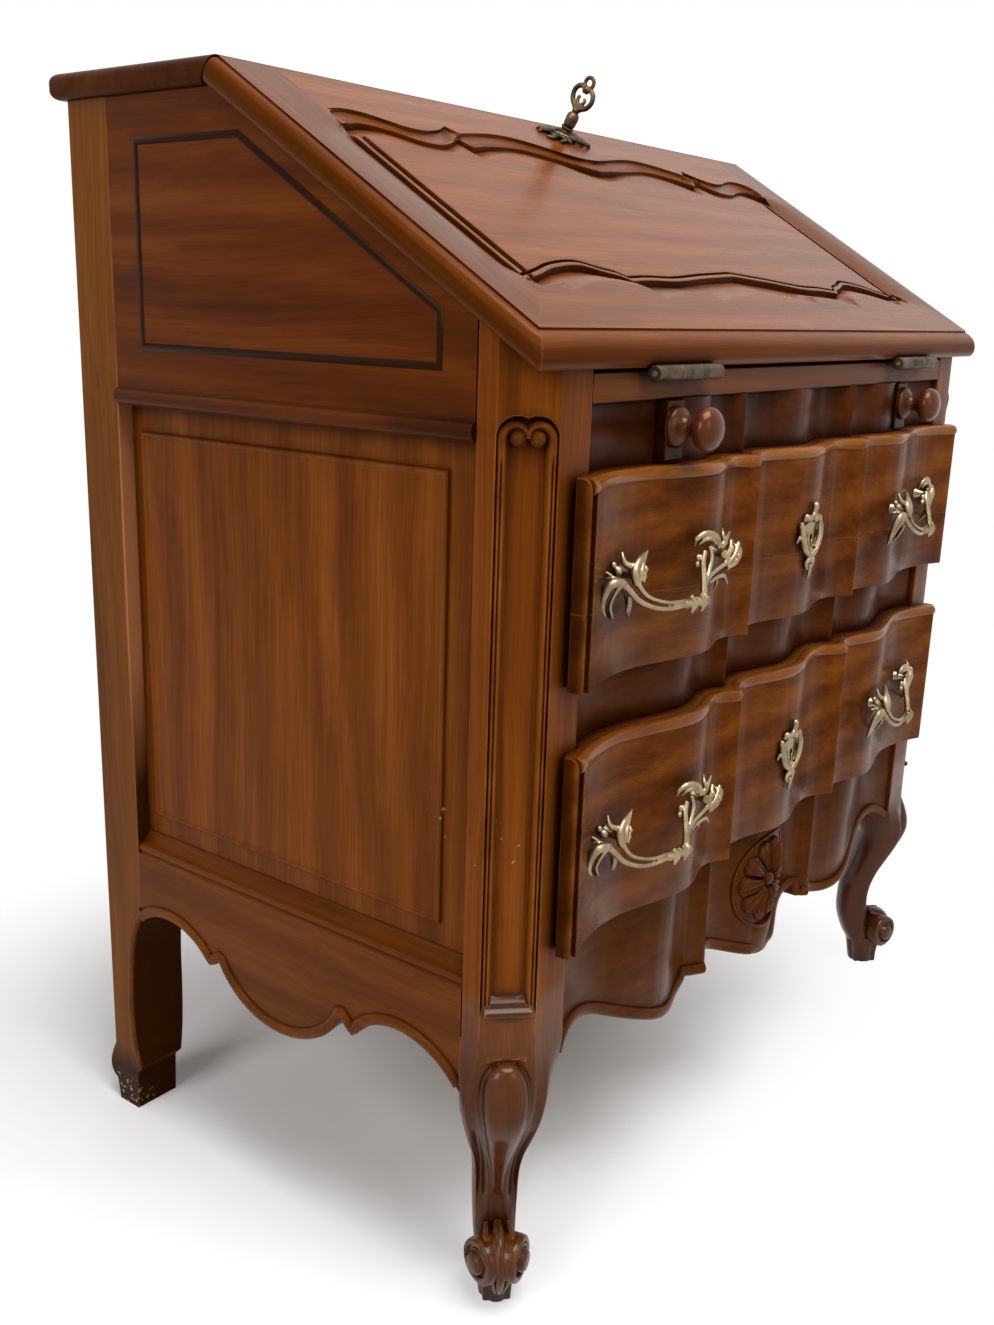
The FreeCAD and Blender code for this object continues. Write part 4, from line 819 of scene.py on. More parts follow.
# strands of the casting: radii, then points (along, out of the plane, up) in millimetres
PULL = [
    ([1.6, 3.4, 4.2, 4.6, 4.4], [(-72, 3, -28), (-83, 8, -15), (-84, 12, -3), (-79, 15, 3), (-69, 15, 2)]),
    ([4.4, 4.0, 3.4, 1.6], [(-69, 15, 2), (-61, 13, -7), (-54, 9, -17), (-47, 3, -28)]),
    ([1.5, 1.9, 2.1, 1.8], [(-66, 4, -27), (-76, 10, -15), (-76, 15, -4), (-70, 18, 3)]),
    ([1.8, 1.9, 1.4], [(-65, 17, -2), (-60, 14, -12), (-54, 7, -24)]),
    ([3.6, 2.8, 1.0], [(-70, 15, 2), (-75, 11, 5), (-80, 6, 5)]),
    ([2.2, 1.6, 0.8], [(-74, 12, 4), (-78, 8, 9), (-82, 5, 10)]),
    ([4.2, 4.8, 3.8, 1.3], [(-55, 17, -1), (-56, 15, 9), (-48, 12, 16), (-33, 7, 21)]),
    ([2.0, 2.2, 1.2], [(-52, 19, 2), (-50, 17, 11), (-36, 9, 21)]),
    ([3.6, 3.2, 2.4, 1.1], [(-54, 13, 12), (-60, 10, 14), (-62, 8, 18), (-61, 6, 23)]),
    ([3.4, 3.4, 3.0, 2.6, 2.4, 2.3, 2.6],
     [(-69, 15, 2), (-63, 18, -5), (-58, 21, -11), (-49, 24, -16), (-37, 26, -19.5),
      (-21, 26, -21.2), (-7, 26, -20.4)]),
    ([3.2, 3.0, 2.6, 2.1, 2.0, 2.3], [(-55, 15, 8), (-55, 18, 0), (-50, 21, -8), (-42, 24, -12.5), (-27, 26, -16.3),
                                      (-8, 26, -17.8)]),
    ([1.6, 2.0, 1.4], [(-43, 14, 12), (-46, 16, 6), (-49, 18, 0)]),
    ([4.2, 5.8, 4.8, 6.2, 5.0], [(-9, 26, -20), (-3, 26, -20), (3, 26, -19.5), (10, 26, -20), (17, 25, -20)]),
    ([2.2, 2.4, 1.6], [(-6, 29, -13), (-1, 31, -20), (-4, 29, -27)]),
    ([2.2, 2.4, 1.6], [(6, 29, -13), (10, 31, -20), (8, 29, -27)]),
    ([4.2, 3.6, 3.2, 3.0, 2.8], [(16, 25, -20), (18, 23, -10), (20, 20, 0), (21, 18, 8), (25, 16, 16)]),
    ([3.0, 2.8, 2.6, 2.4], [(20, 23, -8), (28, 19, 1), (33, 17, 10), (32, 15, 19)]),
    ([1.4, 2.6, 3.4, 3.8, 3.6, 3.0],
     [(22, 8, 19), (20, 11, 24.5), (26, 13, 28.5), (34, 14, 28), (42, 14, 24), (46, 14, 16)]),
    ([1.2, 2.0, 2.4, 2.0], [(24, 11, 20), (27, 14, 24), (33, 16, 24.5), (39, 16, 20)]),
    ([2.6, 2.4, 2.4, 2.6], [(21, 22, -7), (33, 19, -2), (47, 16, 1), (58, 14, 3)]),
    ([1.8, 2.8, 2.8, 1.0], [(30, 19, -9), (44, 15, -7), (57, 12, -8), (73, 5, -18)]),
    ([1.4, 2.0, 1.0], [(42, 16, -7), (50, 11, -13), (54, 6, -20)]),
    ([3.0, 3.8, 3.8, 3.2], [(58, 14, -1), (71, 12, 2), (78, 10, 10), (68, 11, 15)]),
    ([2.6, 3.2, 2.6], [(58, 15, 3), (66, 15, 9), (74, 12, 17)]),
    ([2.6, 3.4, 2.4], [(56, 14, 4), (58, 15, 12), (64, 12, 20)]),
    ([3.4, 3.6, 3.0, 1.2], [(47, 14, 16), (53, 13, 19), (58, 11, 22), (68, 7, 26)]),
    ([2.0, 2.2, 1.0], [(52, 14, 21), (52, 12, 26), (56, 8, 30)]),
    ([4.4, 4.0, 5.0, 7.0, 9.0], [(-55, 14, 6), (-56, 8, 6), (-56, 4, 6), (-56, 0, 6), (-56, -5, 6)]),
    ([4.4, 4.0, 5.0, 7.0, 9.0], [(54, 14, 10), (54, 8, 10), (54, 4, 10), (54, 0, 10), (54, -5, 10)]),
]
PULL_BALLS = [((-67, 8, 9.5), 3.8), ((-70, 6, 14), 2.6), ((20, 14, 11), 2.9), ((19.5, 14, 5.5), 2.6),
              ((-44, 15, 9), 2.4), ((-46, 16, 4), 2.2), ((60, 15, 14), 3.2), ((74, 12, 6), 3.4),
              ((16, 26, -20), 5.0)]
PULL_SEATS = ((-56, 6), (54, 10))
PULL_CENTRE = 245.0
PULL_SLIM = 0.80
MIDDLE = {"upper": 592.0, "lower": 385.5}         # heights of the drawers' middles


def make_pull(name, x, z, node, body):
    # the casting lies along the line between its two seats on the drawer face
    ends = [Vector(((x + along) * MM, face_of(node, x + along, z + up), 0)) for along, up in PULL_SEATS]
    axis = (ends[1] - ends[0]).normalized()
    out = Vector((axis.y, -axis.x, 0))
    if out.y > 0:
        out.negate()
    start = ends[0] - axis * PULL_SEATS[0][0] * MM

    def seat(p):
        return start + axis * p.x * MM + out * p.y * MM + Vector((0, 0, (z + p.z) * MM))

    shape = Shape().strands(PULL, PULL_BALLS, PULL_SLIM).moved(seat)
    return cast(name, shape, BRASS, body, 0.65)


for word, z in MIDDLE.items():
    for side, x in (("left", -PULL_CENTRE), ("right", PULL_CENTRE)):
        pull = make_pull("%s_pull_%s" % (word, side), x, z, word + "_front", word + "_drawer")
        if side == "left":
            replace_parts(pull, word + "_pulls")


# --- drawer escutcheons

ESCUTCHEON = [
    ([2.2, 3.0, 2.2], [(-2, 3, 20), (0, 4, 27), (1, 3, 33)]),
    ([2.4, 2.8, 2.2, 1.4], [(-1, 4, 22), (-8, 4, 19), (-13, 3, 21), (-15, 2, 16)]),
    ([2.4, 2.8, 2.2, 1.4], [(1, 4, 22), (8, 4, 18), (14, 3, 19), (16, 2, 13)]),
    ([2.0, 3.0, 3.2, 2.8, 2.0], [(-20, 3, 16), (-19, 4, 8), (-16, 4, -2), (-12, 4, -10), (-4, 4, -16)]),
    ([1.4, 1.8, 1.6, 1.2], [(-22, 3, 13), (-14, 5, 8), (-11, 5, 0), (-7, 4, -9)]),
    ([2.0, 3.0, 3.2, 2.8, 2.0], [(12, 3, 18), (19, 4, 9), (18, 4, -1), (12, 4, -9), (5, 4, -16)]),
    ([1.4, 1.8, 1.6, 1.2], [(13, 4, 13), (13, 5, 6), (11, 5, -1), (6, 4, -9)]),
    ([2.4, 2.8, 2.2, 1.2], [(6, 4, -12), (-2, 4, -17), (-7, 3, -23), (-4, 3, -29)]),
    ([2.2, 2.4, 2.0, 1.2], [(-5, 4, -14), (3, 4, -19), (5, 3, -25), (1, 3, -31)]),
    ([1.8, 2.2, 1.8, 0.9], [(-1, 3, -24), (1, 3, -29), (0, 3, -33), (0, 2, -38)]),
    ([1.2, 1.6, 0.9], [(-16, 3, 4), (-21, 3, 2), (-23, 2, -3)]),
    ([1.2, 1.6, 0.9], [(17, 3, 3), (22, 3, 5), (24, 2, 10)]),
]
ESCUTCHEON_BALLS = [((0, 4, 30), 3.4), ((0, 5, 18), 3.6), ((-12, 4, 19), 2.8), ((13, 4, 17), 2.8), ((0, 4, -20), 3.0)]


def keyhole(width, drop):
    """Outline of a keyhole round its own middle."""
    turns = [math.radians(-60 + 300 * k / 19) for k in range(20)]
    points = [(width * math.cos(turn), width * math.sin(turn)) for turn in turns]
    return points + [(-width * 0.62, -drop), (width * 0.62, -drop)]


def hole_plate(outer, inner, low, high):
    """A plate between an outline and a hole, as rings for a loft that closes on itself."""
    outside = []
    for ix, iz in inner:
        turn = math.atan2(iz, ix)
        outside.append(min(outer, key=lambda p: abs(math.remainder(math.atan2(p[1], p[0]) - turn, 2 * math.pi))))
    rows = [(outside, low), (outside, high), (inner, high), (inner, low)]
    return [[Vector((x, h, z)) for x, z in ring] for ring, h in rows]


def make_escutcheon(word, z):
    hole = keyhole(3.6, 10)
    outer = [(17 * c, 17.5 * s - 0.5) for c, s in around(72)]
    shape = Shape().strands(ESCUTCHEON, ESCUTCHEON_BALLS).loft(hole_plate(outer, hole, -2, 2.4), loop=True)

    def seat(p):
        y = face_of(word + "_front", p.x, z + p.z)
        return Vector((p.x * MM, y - p.y * MM, (z + p.z) * MM))

    plate = cast(word + "_keyplate", shape.moved(seat), BRASS, word + "_drawer", 0.6)
    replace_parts(plate, word + "_escutcheon")
    # a near-black plug fills the keyhole as painted shade of the hole
    plug = Shape().loft([[seat(Vector((x * 1.2, h, up * 1.1))) for x, up in hole] for h in (-1.0, 0.6)])
    make(word + "_keyhole", plug, KEYHOLE_SHADE, word + "_drawer")


for word, z in MIDDLE.items():
    make_escutcheon(word, z - 2)


# --- lock plate and key of the fall front

def on_lid(x, up, out):
    """A point on the fall front: across, up the slope and out of its inner face."""
    s, c = math.sin(LID_SLOPE), math.cos(LID_SLOPE)
    return place(x, LID_FRONT - up * c + out * s, HINGE_Z + up * s + out * c)


LOCK_X = 8.0
KEY_UP = LID_END - 27.0
LID_THICK = 22.0

LID_PLATE = [
    ([1.2, 2.4, 2.6, 2.2], [(-36, 1, 3), (-29, 2, 6), (-20, 3, 4), (-11, 3, 7)]),
    ([1.2, 2.2, 2.4, 2.0], [(-34, 1, -6), (-27, 2, -9), (-18, 3, -5), (-10, 3, -8)]),
    ([1.0, 2.0, 2.4], [(-31, 1, 11), (-24, 2, 11), (-16, 3, 6)]),
    ([1.0, 2.0, 2.2, 1.4], [(-22, 2, -15), (-15, 3, -14), (-8, 3, -9), (-4, 2, -15)]),
    ([2.2, 2.8, 2.6, 2.4, 2.0, 1.2], [(-12, 3, 2), (-6, 4, -8), (4, 4, -9), (14, 4, -12), (24, 3, -15), (32, 1, -12)]),
    ([2.2, 2.6, 2.4, 2.2, 1.2], [(-6, 3, 9), (4, 3, 10), (14, 3, 8), (24, 3, 5), (35, 1, 7)]),
    ([1.8, 2.2, 1.2], [(20, 3, 4), (28, 2, -2), (36, 1, -1)]),
    ([1.6, 2.0, 1.0], [(16, 3, 7), (22, 2, 13), (29, 1, 14)]),
    ([1.6, 1.9, 1.0], [(-2, 3, 10), (-8, 2, 15), (-15, 1, 16)]),
    ([1.4, 1.8, 1.0], [(18, 3, -13), (24, 2, -8), (22, 2, -3)]),
]
# turned parts: radius, distance out
LID_COLLAR = [(4.0, 0), (7.4, 0), (7.2, 2.8), (5.8, 3.6), (5.4, 9.0), (6.4, 10), (6.4, 11.4), (4.0, 11.6)]
KEY_STEM = [(3.0, 11), (3.0, 33.6), (5.2, 34.2), (6.0, 36), (6.2, 43), (5.6, 46), (4.2, 47), (3.2, 48.5), (4.2, 50),
            (4.0, 52), (2.6, 53)]
# half of the key's bow: distance to the side, distance out
KEY_HEART = [(0, 51), (4, 53.5), (9.5, 57.5), (12, 64), (10, 70), (5, 72.6), (1.5, 70), (1.8, 67.5)]
KEY_CURL = [(0, 54), (3.4, 58.5), (4.4, 62), (2.2, 63)]


def make_lid_plate():
    outer = [(20 * c, 10.5 * s) for c, s in around(72)]
    inner = [(3.6 * c, 3.6 * s) for c, s in around(24)]
    shape = Shape().strands(LID_PLATE).loft(hole_plate(outer, inner, -0.6, 2.2), loop=True)
    shape.turned(LID_COLLAR, (0, 0, 0), (0, 1, 0), 28)
    shape.moved(lambda p: on_lid(LOCK_X + p.x, KEY_UP + p.z, LID_THICK + p.y))
    plate = cast("fall_keyplate", shape, BRONZE, "fall_front", 0.6)
    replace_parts(plate, "fall_escutcheon")


def make_key():
    """Turned stem, heart bow with two inner curls, small ring; the bow stands along the slope."""
    shape = Shape().turned(KEY_STEM, (0, 0, 0), (0, 0, 1), 28)
    for side in (-1, 1):
        shape.tube([(0, side * u, h) for u, h in KEY_HEART], [3.4, 2.8, 2.5, 2.4, 2.4, 2.4, 2.2, 1.6], sides=12)
        shape.tube([(0, side * u, h) for u, h in KEY_CURL], [2.4, 1.8, 1.5, 1.2], steps=5)
    shape.tube([(0, 5.0 * c, 77.6 + 5.0 * s) for c, s in around(32)], [1.9], steps=0, loop=True)
    shape.ball((0, 0, 72), 3.2)
    shape.moved(lambda p: on_lid(LOCK_X + p.x, KEY_UP + p.y, p.z))
    key = cast("lock_key", shape, BRONZE, "key", 0.5)
    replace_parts(key, "fall_key")


make_lid_plate()
make_key()


# --- fall front

LID_HALF = 417.0
OPEN_HALF = 352.0
LID_TOP = LID_END - 1.0
STILE = LID_HALF - OPEN_HALF
FIELD = 18.2
HOLLOW_LOW = 12.6         # floor of the hollow at the field's foot
HOLLOW_END = 14           # the hollow rises to the stiles over this length
RIM = 13.0                # foot of the field above the lower wave
BORDER_REACH = 24.6       # width of the border along the stiles
RIDGE_X = 195.0
BAND = 20.8               # reach of the coved band below the upper wave
LOW_AT = 72               # foot of the opening at its ends
# rounded edge under a quirk: distance from the side, distance from the front edge, height
NOSE = [(9, 22.5, 22), (9, 22.5, 20.4), (5.5, 17.5, 20.0), (2.7, 12.5, 18.3), (0.9, 8.3, 15.3), (0.1, 5.2, 11.5),
        (0.3, 3.4, 7.5), (1.2, 2.9, 4.0), (2.8, 3.6, 1.4), (5.5, 5.5, 0)]
EDGE_SIDE, EDGE_FRONT = NOSE[0][:2]
# upper wave of the opening from the lid's end and lower one from its foot, each with a break at the ridge
TOP_OUTER = [(-352, -66), (-324, -57), (-291, -61), (-262, -71), (-235, -70), (-200, -54)]
TOP_INNER = [(-190, -64), (-150, -55), (-106, -51), (-58, -59), (0, -69)]
LOW_OUTER = [(-352, 72), (-320, 82), (-289, 93), (-248, 99), (-222, 91), (-206, 87)]
LOW_INNER = [(-196, 80), (-164, 83), (-122, 84), (-63, 92), (0, 99)]
# reach of the hollow below the lower wave, by distance from the middle
HOLLOW = [(0, 30), (60, 33), (90, 36), (102, 21), (140, 20), (172, 27), (186, 30), (197, 15), (225, 16), (262, 26),
          (300, 34), (310, 34), (323, 14), (352, 13)]
# share of the gouged crescents, by distance from the middle
GOUGE = [(0, 1), (24, 1), (58, 0), (132, 0), (160, 0.4), (184, 1), (191, 0.9), (200, 0.2), (220, 0.6), (248, 0),
         (300, 0), (318, 0.6), (336, 1), (352, 1)]
# side border across from the stile: two beads between quirks
BORDER = [(0, 0), (1.0, -4.5), (2.0, -6.0), (6.0, -6.0), (7.0, -2.0), (7.6, 1.0), (10.0, 1.7), (12.6, 1.0),
          (13.4, -3.0), (14.2, -6.5), (20.0, -6.5), (21.0, -2.0), (21.8, 1.1), (23.5, FIELD - 16.8),
          (352, FIELD - 16.8)]
# lower edge of the field: a bead and a quirk, by the distance in from its foot
FIELD_BEAD = [(1.6, -0.3), (3.4, 0.5), (5.4, -0.2), (6.0, -3.2), (8.4, -3.2), (9.2, -0.2), (10.4, 0), (400, 0)]
# section of the coved band, by the distance below the upper wave
COVE = [(0, LID_THICK), (0.9, 19.2), (2.2, 18.4), (9, 17.5), (15, 18.4), (18.4, 20.4), (19.6, 20.6), (BAND, FIELD)]
# places across the border, and up the panel from the lower and the upper wave
EDGE_COLUMNS = [0, 0.5, 1.0, 1.5, 2.0, 4.0, 6.0, 6.5, 7.0, 7.3, 7.6, 8.8, 10.0, 11.3, 12.6, 13.0, 13.4, 13.8, 14.2,
                17.0, 20.0, 20.5, 21.0, 21.4, 21.8, 22.6, 23.5, BORDER_REACH, 27, 29.5]
LOW_ROWS = [0, 2, 4, 6, 8, 10, 11.5, 12.4, 13, 13.5, 14, 14.6, 15.4, 16.4, 17.4, 18.4, 19.0, 20.2, 21.4, 22.2, 23.4,
            26]
TOP_ROWS = [38, 35, 32, 29, 27, 25, 23, 21.8, BAND, 20.19, 19.9, 19.6, 18.4, 17, 15, 12, 9, 6, 4, 2.2, 1.5, 0.9, 0.4,
            0]


def straight(table, at):
    """A value of a table of pairs, by straight lines."""
    for (a, b), (c, d) in zip(table, table[1:]):
        if at <= c:
            return b + (d - b) * min(max((at - a) / (c - a), 0.0), 1.0)
    return table[-1][1]


def wave(outer, inner, x):
    x = -abs(x)
    if x <= outer[-1][0]:
        return along_table(outer, x)[0]
    if x >= inner[0][0]:
        return along_table(inner, x)[0]
    return straight([outer[-1], inner[0]], x)


def low_wave(x):
    return wave(LOW_OUTER, LOW_INNER, x)


def top_wave(x):
    return LID_END + wave(TOP_OUTER, TOP_INNER, x)


def stile_height(u):
    """Height of the stile at the opening: it falls softly towards the border of the field."""
    return LID_THICK - 5.2 * ease(75, 112, u) * (1 - ease(276, 300, u))


def hollow_height(x, below):
    """Height of the hollow in front of the field, by the distance below the field's foot."""
    ends = ease(0, HOLLOW_END, OPEN_HALF - abs(x))
    return LID_THICK - (LID_THICK - HOLLOW_LOW) * ends * max(0.0, 1 - below / straight(HOLLOW, abs(x)))


def band_height(x, below, edge):
    """Coved band under the upper wave, with a round end and a twisted facet across it."""
    band = straight(COVE, below)
    over = RIDGE_X + 0.9 * (below - 8) - abs(x)
    facet = 1 + over / 11 if over < 0 else 1 - over / 1.6
    band += max(0.0, facet) * 3.8 * ease(0, 2, below) * (1 - ease(17.5, 20, below))
    if edge < 11:
        band += (LID_THICK - band) * ease(8.8, 10.0, math.hypot(11 - edge, below - 10))
    return band


def panel_height(x, u):
    edge = OPEN_HALF - abs(x)
    above = u - low_wave(x) - RIM
    if above < 0:
        return hollow_height(x, -above)
    below = top_wave(x) - u
    if below < 20.2:
        return band_height(x, below, edge)
    foot_height = LID_THICK - (LID_THICK - HOLLOW_LOW) * ease(0, HOLLOW_END, edge)
    field = straight([(0, foot_height)] + [(t, FIELD + h) for t, h in FIELD_BEAD], above)
    # border grooves, stopped at both ends
    side = stile_height(u) + straight(BORDER, edge) * ease(80, 86, u) * (1 - ease(281, 286, u))
    side += (FIELD - side) * ease(22.4, BORDER_REACH, edge)
    share = straight(GOUGE, abs(x))
    floor = FIELD - 0.7 - 2.4 * share
    reach = 25 + 11 * share
    crescent = floor + (FIELD - floor) * min(max((below - BAND) / (reach - BAND), 0.0), 1.0)
    return min(crescent, field, side) if edge < BORDER_REACH else min(crescent, field)


def lid_columns():
    """Places across the opening, close together at the borders and at the ridges."""
    columns = [-OPEN_HALF + t for t in EDGE_COLUMNS]
    for start, step, count in ((-320, 2.5, 39), (-224, 1.0, 51), (-171, 3, 57)):
        columns += [start + step * k for k in range(count)]
    return columns + [0.0] + [-x for x in reversed(columns)]


def make_lid_panel():
    rings = []
    for x in lid_columns():
        low, top = low_wave(x), top_wave(x)
        rows = [low + t for t in LOW_ROWS]
        first, last = rows[-1], top - TOP_ROWS[0]
        rows += [first + (last - first) * k / 14 for k in range(1, 14)] + [top - t for t in TOP_ROWS]
        rings.append([on_lid(x, low, 0)] + [on_lid(x, u, panel_height(x, u)) for u in rows] + [on_lid(x, top, 0)])
    panel = make("fall_carved_panel", Shape().loft(rings), WOOD["lid"], "fall_front", 32)
    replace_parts(panel, "fall_panel")


def mitre_side(front):
    """Distance from the side at which the corner mitre lies, by the distance from the front edge."""
    return EDGE_SIDE + (STILE - EDGE_SIDE) * (front - EDGE_FRONT) / (LOW_AT - EDGE_FRONT)


def make_lid_rail():
    rings = []
    for x in lid_columns():
        low = low_wave(x)
        ring = [on_lid(x, low, 0)]
        for t in [0, 2, 4, 6, 8, 10, 13, 16, 19, 22, 25]:
            across = x * (LID_HALF - mitre_side(LOW_AT - t)) / OPEN_HALF
            ring.append(on_lid(across, low - t, hollow_height(across, RIM + t)))
        for side, front, height in NOSE:
            ring.append(on_lid(x * (LID_HALF - side) / OPEN_HALF, front, height))
        rings.append(ring)
    rough = show("fall_rail_rough", Shape().loft(rings).outward_mesh("fall_rail_rough"))
    # the hinge leaves lie flush in the inner face
    bed = Shape()
    for x in (-233, 233):
        bed.loft([[on_lid(x + a, u, h) for a, u in ((-47.6, -20), (47.6, -20), (47.6, 38.2), (-47.6, 38.2))]
                  for h in (-4, 2.05)])
    tool = show("hinge_beds", bed.outward_mesh("hinge_beds"))
    cut = rough.modifiers.new("beds", "BOOLEAN")
    cut.operation = "DIFFERENCE"
    cut.solver = "EXACT"
    cut.object = tool
    done = worked(rough)
    bpy.data.objects.remove(rough)
    bpy.data.objects.remove(tool)
    rail = link("fall_carved_rail", done, WOOD["lid"], "fall_front", 32)
    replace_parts(rail, "fall_rail_bottom")


def make_stiles():
    slope_from = 54.0
    outline = [(STILE, LOW_AT, 0), (STILE, LOW_AT, None), (mitre_side(slope_from), slope_from, LID_THICK)] + NOSE
    rings = []
    for k in range(45):
        ring = []
        for side, front, height in outline:
            u = front + (LID_TOP - front) * k / 44
            ring.append(on_lid(-LID_HALF + side, u, stile_height(u) if height is None else height))
        rings.append(ring)
    make_both(("fall_moulded_stile_", Shape().loft(rings), WOOD["stile"], 32, "fall_stile_"), body="fall_front")


make_lid_panel()
make_lid_rail()
make_stiles()


# --- sides

SIDE_BACK = 50.0
PANEL_LOW = 286.0
PANEL_HIGH = 695.0
PANEL_SINK = 14.0
# raised field of a side panel: distance out from the field's edge, depth behind the post face
FIELD_EDGE = [(0, 14.0), (0.7, 11.2), (1.8, 10.1), (3.2, 9.9), (4.4, 10.4), (5.2, 11.3), (8.0, 11.3)]
FIELD_IN = (14.0, 32.0, 20.0, 22.0)        # margins at the back, front, foot and head
# sill moulding over the side apron: depth behind the post face, height
SILL = [(17, 301), (13.4, 301), (12.2, 300), (11.6, 297.4), (10, 294), (7, 291.2), (3.8, 289.6), (2.0, 289.0),
        (1.0, 287.8), (0.8, 286.0), (1.2, 284.6), (2.4, 284.0), (2.6, 279), (17, 279)]


def make_side_panels():
    back, front, foot_in, head = FIELD_IN
    rings = []
    for inset_by, sink in [(-1, 22.0), (-1, PANEL_SINK)] + FIELD_EDGE:
        if inset_by < 0:
            d0, d1, z0, z1 = SIDE_BACK, POST_BACK, PANEL_LOW - 4, PANEL_HIGH
        else:
            d0, d1 = SIDE_BACK + back + inset_by, POST_BACK - front - inset_by
            z0, z1 = PANEL_LOW + 14 + foot_in + inset_by, PANEL_HIGH - head - inset_by
        rings.append([place(-HALF + sink, d, z) for d, z in ((d0, z0), (d1, z0), (d1, z1), (d0, z1))])
    sill = Shape().loft([[place(-HALF + sink, d, z) for sink, z in SILL] for d in (SIDE_BACK, 250, POST_BACK)])
    make_both(("side_field_", Shape().loft(rings), WOOD["side_panel"], 30, "side_panel_"),
              ("side_sill_", sill, WOOD["side_apron"], 30, None))


make_side_panels()


# --- dark strip on the upper sides, painted shade in the cut line

TRAPEZIUM = [(84, 742.5), (409, 742.5), (409, 782.2), (207, 906), (84, 906)]       # outer edge of the cut line
LINE = [(-0.9, -1.5), (-0.9, 0.2), (0.4, 0.9), (3.6, 0.9), (4.9, 0.2), (4.9, -1.5)]     # distance in, height


def inset(points, by):
    """The outline with its edges moved in."""
    moved = []
    count = len(points)
    for k in range(count):
        (ax, ay), (bx, by_), (cx, cy) = points[k - 1], points[k], points[(k + 1) % count]
        one = Vector((bx - ax, by_ - ay)).normalized()
        two = Vector((cx - bx, cy - by_)).normalized()
        left, right = Vector((-one.y, one.x)), Vector((-two.y, two.x))
        middle = (left + right) / (1 + left.dot(right))
        moved.append((bx + middle.x * by, by_ + middle.y * by))
    return moved


make_both(("side_line_", Shape().loft([[place(-HALF - height, d, z) for d, z in inset(TRAPEZIUM, distance)]
                                       for distance, height in LINE], loop=True), WOOD["line"], 40, None))


# --- rolls along the heads of the drawer fronts

FACE_HALF = 357.0
FACE_HIGH = {"upper": 665.0, "lower": 461.0}
ROLL_HALF = 360


def make_roll(word, high):
    path = []
    for k in range(289):
        x = -ROLL_HALF + 2.5 * k
        y = face_of(word + "_front", min(max(x, -FACE_HALF + 0.5), FACE_HALF - 0.5), high - 14)
        path.append(Vector((x * MM, y + 4.9 * MM, (high + 2.0) * MM)))
    roll = Shape().tube(path, [6.1 * MM], sides=16, up=(0, 0, 1), steps=0)
    make(word + "_roll", roll, WOOD["drawer_roll"], word + "_drawer", 60)


for word, high in FACE_HIGH.items():
    make_roll(word, high)


# --- knobs

# radius, distance out
SPOOL = [(0.0, 0.0), (14.6, 0.0), (15.8, 0.8), (16.2, 2.4), (15.4, 4.4), (12.6, 6.8), (9.4, 9.2), (7.6, 11.8),
         (7.1, 14.6), (7.6, 17.2), (9.6, 19.4), (13.4, 21.6), (16.2, 24.6), (17.0, 28.0), (16.0, 31.8),
         (13.0, 35.2), (8.4, 37.6), (3.4, 38.8), (0.2, 39.0)]
SMALL = [(0.0, 0.0), (4.4, 0.0), (4.6, 1.2), (3.4, 4.0), (3.6, 7.0), (6.0, 9.0), (7.8, 11.6), (7.6, 14.4), (5.6, 16.8),
         (2.6, 17.9), (0.2, 18.0)]


def make_knob(name, outline, node, body):
    low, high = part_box(node)
    base = Vector(((low.x + high.x) / 2, high.y, (low.z + high.z) / 2))
    smooth = smooth_line([Vector((max(r, 0.15) * MM, h * MM, 0)) for r, h in outline], 4)
    shape = Shape().turned([(max(p.x, 0.0001), p.y) for p in smooth], base, (0, -1, 0), 48)
    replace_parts(make(name, shape, WOOD["knob"], body, 70), node)


for word in ("left", "right"):
    make_knob("spool_knob_" + word, SPOOL, "loper_knob_" + word, "slide_support_" + word)
    make_knob("gallery_knob_" + word, SMALL, "small_knob_" + word, "gallery_drawer_" + word)


# --- rosette and apron beads

ROSETTE_Z = 250.0
ROSETTE_R = 49.0
ROSETTE_BED = -2.5        # the carving reaches into the apron
PETALS = 10
PETAL_STEPS = [2, 5, 8, 11, 14, 17, 20, 24, 28, 32, 36, 39, 41]      # distances from the middle


def on_apron(x, z, out):
    y = face_of("front_apron", x, z)
    return Vector((x * MM, y - out * MM, z * MM))


def petal_share(turn):
    """0 on a rib, 1 between two petals."""
    return abs(math.remainder(turn * PETALS / (2 * math.pi), 1.0)) * 2


def petal_height(radius, turn):
    share = petal_share(turn)
    rise = ease(4, 13, radius) * (1 - 0.35 * ease(26, 43, radius))
    flute = 0.55 + 0.45 * math.cos(share * 3 * math.pi)
    return 0.4 + rise * (3.4 + 2.6 * flute) * (1 - share ** 5)


def petal_ring(radius, out=None, scallop=0.15):
    """Points round the rosette, at a height or on the petals."""
    ring = []
    for k in range(PETALS * 16):
        turn = 2 * math.pi * k / (PETALS * 16)
        r = radius * (1 - scallop * petal_share(turn) ** 2.4)
        height = petal_height(radius, turn) if out is None else out
        ring.append(on_apron(r * math.cos(turn), ROSETTE_Z + r * math.sin(turn), height))
    return ring


def make_rosette():
    rings = [petal_ring(1.5, ROSETTE_BED, 0)] + [petal_ring(step) for step in PETAL_STEPS]
    shape = Shape().loft(rings + [petal_ring(42.5, 0.8), petal_ring(42.6, ROSETTE_BED)], loop=True)
    shape.ball(on_apron(0, ROSETTE_Z, 1.0), 7.4 * MM, 20)
    make("rosette", shape, WOOD["apron"], "case", 42)
    path = [on_apron(ROSETTE_R * c, ROSETTE_Z + ROSETTE_R * s, 0.3) for c, s in around(96)]
    rim = Shape().tube(path, [1.7 * MM], sides=8, steps=0, loop=True)
    make("rosette_rim", rim, WOOD["apron"], "case", 60)


def low_edge(node, x, y):
    hit, where, _, _ = NODES[node].ray_cast(Vector((x, y, 0.05)), Vector((0, 0, 1)))
    return where.z if hit else None


